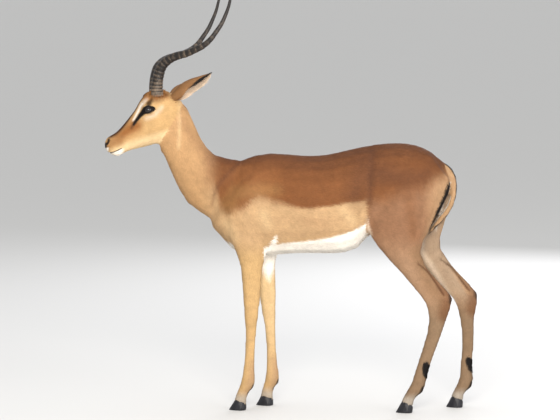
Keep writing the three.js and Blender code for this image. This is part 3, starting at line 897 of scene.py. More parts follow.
def eye_mesh(side):
    """An eyeball with its cornea, looking along the gaze."""
    bm = bmesh.new()
    bmesh.ops.create_uvsphere(bm, u_segments=48, v_segments=32, radius=EYE_RADIUS - EYE_CLEAR)
    mesh = mesh_from(bm, "eye")
    points = points_of(mesh)
    distance = np.linalg.norm(points, axis=1)
    angle = np.arccos(points[:, 2] / distance)
    dome = CORNEA_RISE * (1 - np.clip(angle / CORNEA, 0, 1) ** 2)
    points = points * (1 + dome / EYE_RADIUS)[:, None]
    points = (EYE + points @ np.stack([LONG, SHORT, GAZE])) * [1, side, 1]
    put_points(mesh, points)
    bm = bmesh.new()
    bm.from_mesh(mesh)
    return sealed(bm, "eye")


eyes = {name: eye_mesh(side) for name, side in SIDES.items()}
print("eye points:", len(eyes["left"].vertices))

# %% [markdown]
# ## Lashes
# The upper lid has long dark lashes. Each is a thin tube through rings that shrink and bend upwards, the
# same tool that made the slits, the ears and the horns. Hair curves would be lighter but aren't meshes.

# %% Lashes
LASHES = 28
LASH_LENGTH, LASH_ROOT = 8.5, 0.42
LASH_ROWS, LASH_SIDES = 5, 3
LASH_BEND = 0.7


def lash_mesh(side):
    """Lashes along the upper lid: each a three-sided spike that bends up towards its tip."""
    t = np.radians(np.linspace(-158, -22, LASHES))
    foot = slit_ring(1, EYE_RADIUS + 0.7 * LID, t)
    out = 0.9 * GAZE + 0.5 * np.cos(t)[:, None] * LONG + rng.normal(0, 0.08, (LASHES, 3))
    share = np.linspace(0, 1, LASH_ROWS)[None, :, None]
    line = foot[:, None] + LASH_LENGTH * (out[:, None] * share - LASH_BEND * SHORT * share ** 2)
    turn = turns(LASH_SIDES)
    spokes = np.outer(np.cos(turn), LONG) + np.outer(np.sin(turn), SHORT)
    points = line[:, :, None] + LASH_ROOT * (1.02 - share[..., None]) * spokes
    return joined([tube(rings, "lash") for rings in points * [1, side, 1]], "lashes")


lashes = {name: lash_mesh(side) for name, side in SIDES.items()}
print("lash faces:", len(lashes["left"].polygons))

# %% [markdown]
# ## Marks of the coat
# A ram is fawn with a rich brown saddle, white below, and a few black marks: the eye rims and streaks,
# the ear tips, two stripes on the rump and one down the tail, and a gland tuft over each hind fetlock.
# Colours are laid over each other like glazes, each with a mask of soft edges. One function gives the
# colour at any point, so the skin and every tuft agree. Painting a picture on an unwrap would work too,
# but a function stays sharp at any size and needs no file.

# %% Colour helpers
def linear(hex_colour):
    """An sRGB hex value as linear light."""
    srgb = np.array([int(hex_colour[i:i + 2], 16) for i in (0, 2, 4)]) / 255
    return np.where(srgb <= 0.04045, srgb / 12.92, ((srgb + 0.055) / 1.055) ** 2.4)


HUES = {name: linear(value) for name, value in {
    # the body; shoulder is a painted highlight, and back and saddle also serve as painted shade
    "fawn": "ba976f", "saddle": "7a4b28", "shoulder": "935f37", "back": "573522", "haunch": "8c6549",
    "rump": "b5916c", "neck": "b78f64",
    # the pale parts
    "white": "f4ece0", "cream": "dcbf92", "pale": "d9c3ab",
    # the face; bridge and nose also serve as painted shade, in the hind leg's tendon groove and the mouth's
    # crease
    "cheek": "c39d6b", "muzzle": "94693f", "orange": "8f592a", "bridge": "4a2c18", "brow": "6b4428",
    "eye_spot": "40290f", "nose": "231712",
    # the black marks; black also fills the nostril as painted shade
    "black": "120d0b", "soot": "33241b",
    # the legs; inside is the inner side's own tone, darkened by painted shade
    "fore": "c19d6c", "hind": "a17f62", "gaskin": "866649", "inside": "a38b72", "cannon": "836a51",
    "pastern": "a59a8c",
    # the ears; cup is darker than the rims' pale, as painted shade in the cup's hollow
    "ear": "8a633f", "cup": "c39a7a",
    # the eyes
    "iris": "1b110d", "pupil": "07070a", "globe": "0e0a0a"
}.items()}
WAVES = 7  # that are added up to make the noise


def wobble(s, size, seed):
    """Smooth noise from about -1 to 1, with lumps of about the given size."""
    waves = np.random.default_rng(seed)
    ways = unit(waves.normal(size=(WAVES, 3))) * waves.uniform(0.6, 1.6, (WAVES, 1))
    return np.sin(s @ ways.T * (np.pi / size) + waves.uniform(0, 2 * np.pi, WAVES)).mean(1) * 2


def lay(colour, amount, hue):
    """Lays a hue over a colour, as a glaze of the given strength at each point."""
    amount = np.clip(amount, 0, 1)[:, None]
    return colour * (1 - amount) + HUES[hue] * amount


def band(s, path, start, end, soft):
    """How far each point is inside a painted stroke, whose half width runs from start to end."""
    distance, share, _ = to_path(s, np.array(path, float))
    width = start + (end - start) * share
    return smooth(width - distance, -soft, soft)


def strokes(colour, side_view, where, table):
    """Lays each painted stroke of a table over the colour, where it may go."""
    for path, start, end, soft, hue, strength in table:
        colour = lay(colour, band(side_view, path, start, end, soft) * where * strength, hue)
    return colour


def edge(pairs, x):
    """The height of an outline that is given by a few of its points."""
    keys, values = zip(*pairs)
    return np.interp(x, keys, values)


print(len(HUES), "hues")

# %% [markdown]
# ## Where the body's marks lie
# The saddle and the white belly each end along a line, and the softer tones are strokes with a width that
# changes from start to end. Several strokes are painted shade in creases and hollows, and two are painted
# highlights, on the shoulder and along the jaw. They are kept as tables in millimetres, so that a mark can be
# moved without touching the code that paints it.

# %% Tables of the body's marks
SADDLE_EDGE = [(-225, 765), (-200, 702), (-174, 685), (-138, 692), (-114, 700), (-88, 726), (-64, 737),
               (-40, 731), (-15, 717), (47, 704), (95, 698),
               (140, 699), (181, 706), (250, 722), (302, 722), (361, 724), (406, 745), (450, 760),
               (495, 772), (540, 800), (585, 820)]
SADDLE_SOFT = [(-222, 50), (-181, 28), (-43, 24), (2, 19), (47, 13), (92, 8), (290, 8), (316, 26),
               (361, 42), (585, 42)]
BELLY_EDGE = [(-200, 540), (-100, 548), (-60, 556), (-6, 569), (42, 577), (111, 586), (163, 594),
              (215, 606), (249, 618), (288, 637), (330, 660)]
ELBOW_EDGE = [(430, -48), (520, -47), (547, -44), (566, -34)]  # the white behind the elbow: z, x
NAPE_HIGHLIGHT = [(-358, 1044), (-355, 1000), (-357, 900)]  # a painted highlight along the rear edge of the jaw, where the head meets the neck
BODY_TONES = [  # side view: path of x and z, half width from start to end, softness, hue, strength
    ([(-130, 800), (-20, 790)], 26, 26, 44, "shoulder", 0.60),  # top of the shoulder: painted highlight on its bulge
    ([(-172, 705), (-150, 745), (-60, 760), (-10, 756)], 26, 16, 26, "muzzle", 0.85),  # its paler middle
    ([(-121, 864), (-166, 824), (-201, 784), (-221, 749), (-232, 709)], 6, 3, 13, "back", 0.70),  # painted shade in the crease at the neck's foot
    ([(318, 885), (314, 790), (309, 715)], 9, 7, 17, "back", 0.80),  # painted shade in the crease in front of the haunch
    ([(309, 715), (300, 625)], 6, 3, 12, "saddle", 0.45),  # painted shade down to the fold of the flank
    ([(285, 860), (262, 735)], 26, 22, 46, "back", 0.60),  # dark loin
    ([(350, 815), (430, 800), (505, 815)], 38, 20, 46, "back", 0.66),  # dark top of the haunch
    ([(-345, 990), (-300, 920), (-238, 852)], 8, 12, 18, "haunch", 0.40),  # rear of the neck
    # painted highlight along the rear edge of the jaw
    (NAPE_HIGHLIGHT, 3, 5, 9, "cream", 0.50),
    ([(446, 735), (450, 690), (466, 600)], 12, 8, 28, "saddle", 0.50),  # painted shade in the hollow of the thigh
    ([(303, 668), (307, 640), (314, 606)], 1.0, 7, 4, "pale", 0.75),  # white of the flank's fold, laid as pale: painted shade on the white
    ([(-50, 672), (-38, 640)], 10, 6, 32, "cream", 0.50),  # triceps
    ([(225, 690), (255, 650)], 8, 8, 30, "cream", 0.40),  # pale flank
    ([(95, 655), (160, 640)], 8, 8, 34, "haunch", 0.30),  # darker ribs
    ([(-178, 640), (-150, 590)], 10, 8, 26, "cream", 0.40),  # side of the brisket
]
LEG_TONES = {
    FORE: [
        ([(-80, 150), (-98, 62)], 14, 14, 22, "hind", 0.75),  # lower cannon
        ([(-84, 82), (-91, 66), (-104, 50)], 4.5, 4.0, 3.0, "black", 0.90),  # behind the fetlock
    ],
    HIND: [
        ([(478, 512), (508, 486), (537, 447), (566, 404)], 2.0, 3.8, 3.8, "bridge", 0.95),  # painted shade in the groove in front of the great tendon
        ([(545, 475), (586, 400), (575, 335)], 16, 24, 18, "brow", 0.74),  # point of the hock
        ([(520, 130), (508, 88)], 14, 12, 16, "soot", 0.30),  # below the gland
        ([(548, 665), (515, 590)], 16, 12, 20, "rump", 0.80),  # rear of the thigh
        ([(501, 80), (492, 62), (480, 49)], 7.0, 5.0, 3.0, "black", 0.90),  # behind the fetlock
    ],
}
GASKIN = [(478, 545), (500, 490), (520, 440), (556, 392), (560, 350)]  # the darker rear of the shank
RUMP_STRIPE = [(592, 795), (579, 762), (561, 719), (541, 674), (523, 630)]
INNER_TONES = [  # on the inner side of the hind leg
    ([(424, 525), (466, 440), (507, 362)], 10, 8, 14, "pale", 0.75),  # front of the shank
    ([(520, 480), (570, 392)], 8, 8, 9, "neck", 0.60),  # along the tendon
]
GLAND = np.array([512.0, 142])  # the dark tuft over the hind fetlock
GLAND_HALF = (15, 29)
print("strokes on the body:", len(BODY_TONES), "on the legs:", sum(map(len, LEG_TONES.values())))

# %% [markdown]
# ## Painting the body
# The order matters as it does with paint: ground tones of the limbs, the saddle, the shades on it, then
# white below, and the black marks last. `inward` says how far a surface faces the mid-plane, which is
# how the inner sides of the legs are told from the outer ones.

# %% Marks of the body
def gland_reach(x, z):
    """1 on the outline of the gland's tuft, less inside it."""
    away = z - GLAND[1]
    return np.hypot((x - GLAND[0] + 0.10 * away) / GLAND_HALF[0], away / GLAND_HALF[1])


def body_marks(c, s, flat, n, part, ragged):
    """Paints trunk, neck and legs, with the outlines moved by ragged."""
    x, y, z = flat.T
    side_view = flat[:, [0, 2]]
    inward = -n[:, 1] * np.sign(s[:, 1])
    fore, hind, trunk, neck = (part == kind for kind in (FORE, HIND, TRUNK, NECK))
    leg = fore | hind
    torso = trunk | neck | (leg & (z > 520))
    neck_share = falls(x, -300, -194) * (trunk | neck)
    shoulder = trunk * falls(abs(x + 85), 45, 90)
    c = lay(c, (fore + shoulder) * falls(z, 500, 600), "fore")
    c = lay(c, fore * smooth(inward, 0.0, 0.5) * falls(z, 500, 560) * smooth(z, 60, 330) * 0.6, "cream")
    c = lay(c, smooth(x, 296, 314) * (trunk | hind), "haunch")
    c = lay(c, hind * falls(z, 470, 640), "hind")
    c = lay(c, hind * band(side_view, GASKIN, 26, 20, 24) * 0.9, "gaskin")
    c = lay(c, hind * falls(z, 300, 400), "cannon")
    c = lay(c, smooth(x, 480, 560) * torso * 0.8, "rump")
    c = lay(c, neck_share, "neck")
    soft = edge(SADDLE_SOFT, x)
    above = z + ragged - edge(SADDLE_EDGE, x)
    saddle = smooth(above, -soft, soft) * (1 - neck_share)
    c = lay(c, saddle * torso, "saddle")
    # the saddle darker where it faces up: painted shade on its top
    c = lay(c, saddle * torso * smooth(n[:, 2], 0.25, 0.85) * 0.6, "back")
    c = strokes(c, side_view, torso | neck, BODY_TONES)
    # white below
    below = smooth(edge(BELLY_EDGE, x) - z + 0.5 * ragged, -4, 4)
    between = falls(y, 48, 60)
    belly = below * np.where(x < -52, between, 1) * falls(x, 325, 345) * smooth(x, -185, -165)
    c = lay(c, belly * trunk, "white")
    brisket = falls(y, 24, 36) * falls(z, 565, 585) * falls(x, -100, -60)
    point = falls(y, 40, 54) * falls(z, 564, 580) * falls(x, -145, -130)
    c = lay(c, (brisket + point) * trunk, "white")
    c = lay(c, fore * smooth(inward, 0.0, 0.45) * smooth(z - 1.5 * abs(x + 80), 412, 462), "white")
    elbow = smooth(x - edge(ELBOW_EDGE, z) + 0.4 * ragged, -3, 4) * (z < 566) * smooth(z, 425, 475)
    elbow = np.maximum(elbow, band(side_view, [(-6, 604), (-14, 580), (-26, 556)], 1.5, 14, 3))
    c = lay(c, elbow * (fore | trunk) * (x < 10), "white")
    # the inner side of the hind leg: its own tone, darkened by painted shade
    c = lay(c, hind * smooth(inward, 0.0, 0.5) * smooth(z, 330, 420) * 0.85, "inside")
    c = strokes(c, side_view, hind * smooth(inward, 0.0, 0.5), INNER_TONES)
    groin = smooth(inward, 0.1, 0.6) * smooth(z, 520, 600) * smooth(x, 300, 340) * falls(x, 400, 450)
    c = lay(c, (hind | trunk) * groin, "white")
    seat = falls(y, 26, 36) * smooth(x, 470, 500) * smooth(n[:, 0], 0.1, 0.5)
    c = lay(c, seat * falls(z, 770, 800) * smooth(z, 560, 640) * torso, "white")
    # feet and black marks
    c = lay(c, leg * falls(z, 34, 70) * 0.85, "pastern")
    for limb, tones in LEG_TONES.items():
        c = strokes(c, side_view, part == limb, tones)
    stripe = band(side_view, RUMP_STRIPE, 9.0, 5.0, 2.5)
    c = lay(c, stripe * (trunk | hind) * (x > 480) * smooth(y, 34, 46) * falls(inward, -0.15, 0.1), "black")
    c = lay(c, hind * falls(gland_reach(x, z) + ragged / 60, 0.92, 1.1), "black")
    heel = band(side_view, [(594, 384), (596, 414)], 12, 10, 5) * smooth(n[:, 0], 0.05, 0.45)
    return lay(c, hind * heel * 0.85, "soot")


print("body marks ready")

# %% [markdown]
# ## Painting the head
# The black almond round the eye, the pale line in front of it and the dark bridge of the nose give the
# face its look. They are painted from the side view, and the almond in the eye's own axes, so that it
# stays even round the lids.

# %% Marks of the head
JAW_EDGE = [(-600, 890), (-574, 899), (-553, 908), (-511, 924), (-469, 937), (-427, 948), (-370, 962)]
FACE_TONES = [  # side view: path of x and z, half width from start to end, softness, hue, strength
    ([(-508, 972), (-565, 934)], 22, 15, 18, "orange", 0.95),  # front of the cheek
    ([(-565, 925), (-608, 905)], 18, 16, 14, "muzzle", 0.85),  # side of the muzzle
    ([(-469, 997), (-441, 1008), (-418, 1034)], 6, 5, 10, "pale", 0.75),  # below and behind the eye
    ([(-435, 1062), (-400, 1078)], 12, 12, 12, "brow", 0.75),  # foot of the horn
    # painted highlight along the rear edge of the jaw
    (NAPE_HIGHLIGHT, 3, 5, 9, "cream", 0.50),
    ([(-462, 1046), (-450, 1060)], 9, 6, 6, "eye_spot", 0.95),  # between eye and horn
    ([(-466, 1064), (-487, 1038), (-499, 1013), (-513, 989)], 5.5, 2.5, 3.5, "pale", 1.0),  # before the eye
    ([(-482, 1046), (-499, 1013), (-511, 992)], 3.0, 2.0, 3.0, "white", 0.60),  # its brightest part
    ([(-508, 984), (-520, 964)], 5.0, 3.0, 6.0, "bridge", 0.80),  # foot of the tear mark
    ([(-478, 1019), (-489, 1008), (-502, 991), (-512, 976)], 8.0, 4.0, 2.4, "black", 1.0),  # tear mark
    ([(-596, 925), (-599, 914), (-606, 906), (-618, 901)], 3.4, 4.2, 1.6, "black", 0.95),  # nostril: painted black as the shade inside its opening
]
BRIDGE_HALF = [(-600, 16), (-530, 15), (-495, 10), (-440, 9)]  # half width of the dark bridge of the nose
RIM_HALF = (25.0, 14.0)  # the black almond round the eye


def head_marks(c, s, n, part, ragged):
    """Paints the head, from side view and from the eye's own axes."""
    f = mirrored(s)
    x, y, z = f.T
    side_view = f[:, [0, 2]]
    head = part == HEAD
    on_side = head & (y > 9)
    c = lay(c, head, "cheek")
    c = lay(c, head * smooth(edge(JAW_EDGE, x) - z + 0.3 * ragged, -12, 14) * 0.9, "cream")
    c = strokes(c, side_view, on_side, FACE_TONES)
    on_top = smooth(n[:, 2] - 0.35 * n[:, 0], 0.30, 0.70) * smooth(edge(BRIDGE_HALF, x) - y, -6, 6)
    c = lay(c, head * smooth(z, 1050, 1070) * falls(y, 48, 60) * falls(x, -410, -380) * 0.8, "orange")
    c = lay(c, head * on_top * falls(x, -470, -440) * smooth(x, -604, -586), "bridge")
    facing, away = eye_frame(s)
    almond = abs(facing[:, 1] * away / RIM_HALF[0]) ** 1.5 + abs(facing[:, 2] * away / RIM_HALF[1]) ** 1.5
    c = lay(c, head * falls(almond, 0.92, 1.12) * (facing[:, 0] > 0) * (away < 40), "black")
    # lips, chin and nose
    mouth_line = edge(MOUTH, x)
    c = lay(c, head * smooth(mouth_line - z, -1, 1) * falls(x, -556, -538) * 0.85, "white")
    c = lay(c, head * falls(x, -601, -594) * falls(z, 895, 902), "white")
    # painted shade along the crease of the mouth
    c = lay(c, head * band(side_view, MOUTH, 2.4, 1.3, 1.0), "nose")
    pad = falls(x, -604, -600) * smooth(z, 895, 899) * falls(z, 912, 920) * falls(y, 13, 19)
    return lay(c, head * pad, "nose")


print("head marks ready")

# %% [markdown]
# ## Painting the ears and tail
# Both bend, so their marks are given along and across them: a share of the length, and a place between
# the two rims or out of the rear edge. Marks in plain x and z would slide off as soon as an ear turned.

# %% Marks of the ears and tail
def ear_place(s, n):
    """Share along the ear, whether a point is inside its cup, and its place between the two rims."""
    share, inside, rim = np.zeros(len(s)), np.zeros(len(s)), np.zeros(len(s))
    for name, side in SIDES.items():
        root, along, opening, across = ear_axes(name)
        t = np.clip((s - root) @ along / EAR_LENGTH, 0, 1)
        sag, _, wrap = (curve_through(t, knots)[:, 0] for knots in (EAR_SAG, EAR_RADIUS, EAR_WRAP))
        from_line = s - root - along * (EAR_LENGTH * t)[:, None] - opening * sag[:, None]
        reach = np.maximum(np.linalg.norm(from_line, axis=1), 1e-3)
        angle = np.arctan2(from_line @ across, -(from_line @ opening))
        mine = s[:, 1] * side > 0
        share = np.where(mine, t, share)
        inside = np.where(mine, falls((from_line * n).sum(1) / reach, -0.2, 0.2), inside)
        rim = np.where(mine, angle / np.radians(np.maximum(wrap, 1)) * side, rim)
    return share, inside, rim


def tail_place(s):
    """Share down the tail, its direction there and the direction out of its rear edge."""
    _, share, _ = to_path(s[:, [0, 2]], TAIL_LINE)
    ways = np.gradient(TAIL_LINE, axis=0)
    at = share * (len(TAIL_LINE) - 1)
    down = np.stack([np.interp(at, range(len(ways)), ways[:, k]) for k in (0, 1)], 1)
    along, up = unit(down).T
    zero = np.zeros(len(s))
    return share, np.stack([along, zero, up], 1), np.stack([-up, zero, along], 1)


def end_marks(c, s, n, part):
    """Paints the ears and the tail."""
    share, inside, rim = ear_place(s, n)
    ear = part == EAR
    cup = ear * smooth(share, 0.04, 0.14)
    c = lay(c, ear, "ear")
    # inside the cup: darker in the middle, as painted shade in its hollow, and paler towards both rims
    c = lay(c, cup * inside, "cup")
    c = lay(c, cup * inside * smooth(abs(rim - 0.1), 0.15, 0.65) * 0.9, "pale")
    c = lay(c, cup * falls(rim, -0.90, -0.72) * falls(share, 0.85, 0.95), "pale")
    dark_rim = smooth(rim + 0.35 * smooth(share, 0.40, 0.85), 0.92, 1.02)
    c = lay(c, ear * dark_rim * smooth(share, 0.36, 0.50), "black")
    c = lay(c, ear * smooth(share, 0.84, 0.94) * (1 - inside), "black")
    c = lay(c, ear * smooth(share, 0.93, 0.98), "black")
    tail = part == TAIL
    _, _, rear = tail_place(s)
    outward = (n * rear).sum(1)
    c = lay(c, tail, "rump")
    c = lay(c, tail * falls(outward, -0.95, -0.75), "white")
    return lay(c, tail * smooth(outward, 0.3, 0.5) * falls(abs(s[:, 1]), 6, 8.5), "black")


def markings(s, n, part, fine=0.0):
    """The coat's colour at each point. Fine is how far a single tuft strays over a mark's edge."""
    flat = leg_frame(s, part)
    ragged = 2 * wobble(s, 55, 3) + 1.5 * wobble(s, 14, 4) + fine
    c = np.tile(HUES["fawn"], (len(s), 1))
    c = body_marks(c, s, flat, n, part, ragged)
    c = head_marks(c, s, n, part, ragged)
    c = end_marks(c, s, n, part)
    shade = 1 + 0.025 * wobble(s, 70, 5) + 0.02 * wobble(s, 16, 6)
    return np.clip(c * shade[:, None], 0, 1)


S, normal = points_of(body), normals_of(body)
colour = markings(S, normal, part)
print("mean colour", colour.mean(0).round(3))

# %% [markdown]
# ## The lie of the coat
# Hair grows from the nose back over the face, down the neck and the legs, and back along the trunk. Each
# direction is blended into the one before it over a stretch of the body, then laid flat on the skin.
# Combing guide hairs by hand would show the same lie, but wouldn't tell why it runs so.

# %% Direction of the hair
def lie(s, n, part):
    """The direction in which the hair lies, on the skin."""
    flat = leg_frame(s, part)
    x, _, z = flat.T
    fore, hind, head = (part == kind for kind in (FORE, HIND, HEAD))
    d = np.tile([0.95, 0, -0.28], (len(s), 1))
    for way, amount in (
            ((0.55, 0, -0.83), falls(x, -120, 20)),
            ((0.30, 0, -0.95), smooth(x, 400, 540)),
            ((0.12, 0, -1), falls(z, 540, 640) * (fore | hind)),
            ((0.5, 0, -0.87), falls(z, 520, 600) * smooth(z, 330, 400) * hind),
            ((-0.2, 0, -0.98), falls(z, 340, 380) * hind),
            ((0.42, 0, -0.9), part == NECK),
            ((0.9, 0, 0.05), head),
            ((0.75, 0, 0.62), head * smooth(n[:, 2], 0.2, 0.6)),
            ((0.15, 0, 1), head * falls(horn_reach(s), 28, 34) * smooth(z, 1045, 1058))):
        d = d + (np.array(way, float) - d) * amount[:, None]
    _, down, _ = tail_place(s)
    d = np.where((part == TAIL)[:, None], down, d)
    for name, side in SIDES.items():
        d = np.where(((part == EAR) & (s[:, 1] * side > 0))[:, None], ear_axes(name)[1], d)
    return unit(d - n * (d * n).sum(1)[:, None])


way = lie(S, normal, part)
print("lying downwards:", int((way[:, 2] < 0).sum()), "of", len(way), "points")

# %% [markdown]
# ## The length of the coat
# Shaded noise alone would look painted at the outline, and hair curves don't survive export, so the coat
# is solid tufts: flat lozenges, buried at the root, widest in the middle and fine at the tip. They
# overlap like thatch. Their measures change over the body: smallest on the nose and feet, longest on the
# tail, raised at the crest, the foot of the horns and the glands.

# %% Length of the hair
def hair(s, n, part):
    """Length, width and lift of a tuft at each root."""
    flat = leg_frame(s, part)
    x, y, z = flat.T
    length = np.interp(z, [0, 60, 330, 520, 640], [4.5, 6.0, 8.0, 11.0, 13.0])
    width = np.interp(z, [0, 60, 330, 520, 640], [0.9, 1.0, 1.15, 1.4, 1.5])
    lift = 0.62 * coat_depth(s, part)
    by_reach = np.interp(x, [-600, -560, -460, -400, -330], [2.2, 3.2, 4.6, 7.0, 10])
    head = part == HEAD
    collar = head & (z > 1050) & (horn_reach(s) < 32)
    crest = head & (abs(x + 456) < 18) & (y < 17) & (n[:, 2] > 0.2)
    tip = smooth(tail_place(s)[0], 0.75, 1)
    share, inside, rim = ear_place(s, n)
    fringe = inside * smooth(abs(rim), 0.35, 0.8) * falls(share, 0.75, 0.95) * smooth(share, 0.15, 0.3)
    for where, *measures in (  # None leaves a measure as it was
            (head, by_reach, np.interp(by_reach, [2.2, 10], [0.6, 1.5]), None),
            (part == NECK, 12.5, 1.4, None),
            (collar, 11, None, 3.0),
            (crest, 11, None, 4.5),
            (part == TAIL, 14 + 8 * tip, 1.3, 1.6 + tip),
            ((part == HIND) & (gland_reach(x, z) < 1), 7, None, 3.0),
            (part == EAR, 4.0 + 9 * fringe, 1.0, 0.6 + 2.2 * fringe)):
        length, width, lift = (was if now is None else np.where(where, now, was)
                               for was, now in zip((length, width, lift), measures))
    return length, width, lift


length, width, lift = hair(S, normal, part)
print("hair", length.min(), "to", length.max(), "mm long")

# %% [markdown]
# ## Sowing
# Roots are drawn at random over the skin's triangles, each with a chance in proportion to its area and to
# how small the tufts are there, so that the cover is even. A particle system would scatter them too, but
# its rules for density need a painted map.

# %% Sow the roots
COVER = 1.12  # how many tufts lie over each other
TUFT_SHARE = 0.6  # of a tuft's length times its width, the part that it covers
LID_REACH = 34  # the lids lie nearer to the eye's middle than this
SLIT_MARGIN = 2.5
HOOF_LINE = 16  # the height over the floor below which no hair grows


def bare(s, n, part):
    """Where no tuft grows: lids' rims, nose, nostrils, mouth, under the horns, at the hooves, ear holes."""
    facing, away = eye_frame(s)
    share, inside, _ = ear_place(s, n)
    slit = np.hypot(facing[:, 1] * away / (SLIT_HALF[0] + SLIT_MARGIN),
                    facing[:, 2] * away / (SLIT_HALF[1] + SLIT_MARGIN))
    f = mirrored(s)
    eye = (away < LID_REACH) & ((slit < 1) & (facing[:, 0] > 0) | (away < EYE_RADIUS + 0.5))
    leather = (f[:, 0] < -602) & (f[:, 2] > 897) & (f[:, 1] < 16)
    nostril = near(s, [-601, 14, 912], 9)
    mouth = stroke(s[:, [0, 2]], MOUTH, 2.0, 1) > 0.5
    foot = s[:, 2] < FLOOR + HOOF_LINE
    under_horn = (horn_reach(s) < COLLAR - 4) & (s[:, 2] > 1045)
    ear_hole = (part == EAR) & (inside > 0.3) & (share < 0.10)
    return eye | ((part == HEAD) & (leather | nostril | mouth | under_horn)) | foot | ear_hole


def sow(mesh):
    """Random roots on the skin: place, normal and part, thicker where tufts are small."""
    mesh.calc_loop_triangles()
    corners = np.empty(len(mesh.loop_triangles) * 3, dtype=int)
    mesh.loop_triangles.foreach_get("vertices", corners)
    corners = corners.reshape(-1, 3)
    a, b, c = (S[corners[:, k]] for k in range(3))
    area = np.linalg.norm(np.cross(b - a, c - a), axis=1) / 2
    length, width, _ = hair((a + b + c) / 3, normal[corners[:, 0]], part[corners[:, 0]])
    want = COVER * area / (TUFT_SHARE * length * width)
    count = int(want.sum())
    pick = rng.choice(len(want), count, p=want / want.sum())
    u, v = rng.random(count), rng.random(count)
    over = u + v > 1
    u, v = np.where(over, 1 - u, u), np.where(over, 1 - v, v)
    weights = np.stack([1 - u - v, u, v], 1)
    root = (S[corners[pick]] * weights[:, :, None]).sum(1)
    way = (normal[corners[pick]] * weights[:, :, None]).sum(1)
    way = unit(way)
    root_part = part[corners[pick, 0]]
    keep = ~bare(root, way, root_part)
    facing = np.cross(b - a, c - a)[pick]
    keep &= (way * facing).sum(1) > 0.5 * np.linalg.norm(facing, axis=1)
    return root[keep], way[keep], root_part[keep]


roots, root_normal, root_part = sow(body)
print("tufts:", len(roots), np.bincount(root_part))

# %% [markdown]
# ## Finishes
# A finish is a few nodes on the shader that every material starts with. Adding a node by hand takes four
# lines, so one helper adds any node with its settings and what feeds it. Image textures would need files
# and an unwrap; noise in real millimetres and painted attributes need neither.

# %% Material helper
def new_material(name):
    material = bpy.data.materials.new(name)
    material.use_nodes = True
    tree = material.node_tree
    return material, tree, tree.nodes["Principled BSDF"]


def feed(tree, node, inputs):
    """Gives a node's inputs their values, or links them to other nodes' outputs."""
    for key, value in inputs.items():
        if isinstance(value, bpy.types.NodeSocket):
            tree.links.new(value, node.inputs[key])
        else:
            node.inputs[key].default_value = value
    return node


def add(tree, kind, inputs, **settings):
    """Adds one node, with its settings and inputs."""
    node = tree.nodes.new("ShaderNode" + kind)
    for key, value in settings.items():
        setattr(node, key, value)
    return feed(tree, node, inputs)


print("helpers ready")

# %% [markdown]
# ## Short hair and haired skin
# A summer coat is matt, with a weak sheen, and no two patches of it have quite the same tone. Both finishes
# read the painted attribute and break it up with noise. A picture of fur on an unwrap would stretch over
# the shoulders and the legs; noise in real millimetres is even everywhere. The skin between the tufts
# also has streaks and a fine bump along the hair, so that no bald ground shows.

# %% Coat and skin
HAIR_WIDTH = 1.6 * MM  # a lock of hairs: a single hair would be too fine to show
PATCH_SIZE = 26 * MM  # of the paler and darker patches
HAIR_GLOSS = {"Roughness": 0.7, "Specular IOR Level": 0.2}
WET_ROUGHNESS = 0.35  # of the nose and the rims of the lids


def mottled(tree, place):
    """The painted marks, broken up a little as a real coat is."""
    colour = add(tree, "Attribute", {}, attribute_name="markings").outputs["Color"]
    patches = add(tree, "TexNoise", {"Vector": place, "Scale": 1 / PATCH_SIZE, "Detail": 3.0,
                                     "Roughness": 0.75}).outputs["Fac"]
    tone = add(tree, "MapRange", {"Value": patches, "From Min": 0.3, "From Max": 0.7,
                                  "To Min": 0.90, "To Max": 1.09}).outputs["Result"]
    return add(tree, "VectorMath", {0: colour, "Scale": tone}, operation="SCALE").outputs["Vector"]


def coat_material():
    """Short summer hair: matt, with a soft sheen where it catches the light."""
    material, tree, shader = new_material("short_hair")
    place = add(tree, "TexCoord", {}).outputs["Object"]
    feed(tree, shader, {"Base Color": mottled(tree, place), **HAIR_GLOSS})
    return material


def skin_material():
    """Haired skin: the same colours, with streaks and bump along the hair."""
    material, tree, shader = new_material("haired_skin")
    place = add(tree, "TexCoord", {}).outputs["Object"]
    upright = add(tree, "Attribute", {}, attribute_name="upright").outputs["Fac"]
    streaks = []
    for stretch in ((0.12, 1, 1), (1, 1, 0.12)):
        along = add(tree, "Mapping", {"Vector": place, "Scale": stretch}).outputs["Vector"]
        streaks.append(add(tree, "TexNoise", {
            "Vector": along, "Scale": 1 / HAIR_WIDTH, "Detail": 3.0, "Roughness": 0.6}).outputs["Fac"])
    hairs = add(tree, "Mix", {0: upright, 2: streaks[0], 3: streaks[1]}, data_type="FLOAT").outputs[0]
    tone = add(tree, "MapRange", {"Value": hairs, "From Min": 0.3, "From Max": 0.7,
                                  "To Min": 0.86, "To Max": 1.06}).outputs["Result"]
    toned = add(tree, "VectorMath", {0: mottled(tree, place), "Scale": tone}, operation="SCALE")
    wet = add(tree, "Attribute", {}, attribute_name="wet").outputs["Fac"]
    rough = add(tree, "MapRange", {"Value": wet, "To Min": HAIR_GLOSS["Roughness"],
                                   "To Max": WET_ROUGHNESS}).outputs["Result"]
    bump = add(tree, "Bump", {"Height": hairs, "Strength": 0.4, "Distance": 0.5 * MM})
    feed(tree, shader, {**HAIR_GLOSS, "Base Color": toned.outputs["Vector"], "Roughness": rough,
                        "Normal": bump.outputs["Normal"]})
    return material


coat_finish, skin_finish = coat_material(), skin_material()
print("finishes:", coat_finish.name, skin_finish.name)

# %% [markdown]
# ## Horn, hoof and eye
# Horn and hoof are keratin, laid down in layers: satin and streaked along the way they grow. The hollows
# between the horn's rings are darkened as painted shade, so the ridges read paler. A hoof is the same stuff,
# nearly black, with a faint blue in its tones as a painted reflection of the sky. The eye is a wet globe, so
# it has a clear coat over a dark, smooth base.

# %% Horn, hoof and eye
WEAR_SHARE = 0.45  # of wear in the tone, beside the grain
WEAR_SIZE = 22 * MM
CORNEA_IOR = 1.376


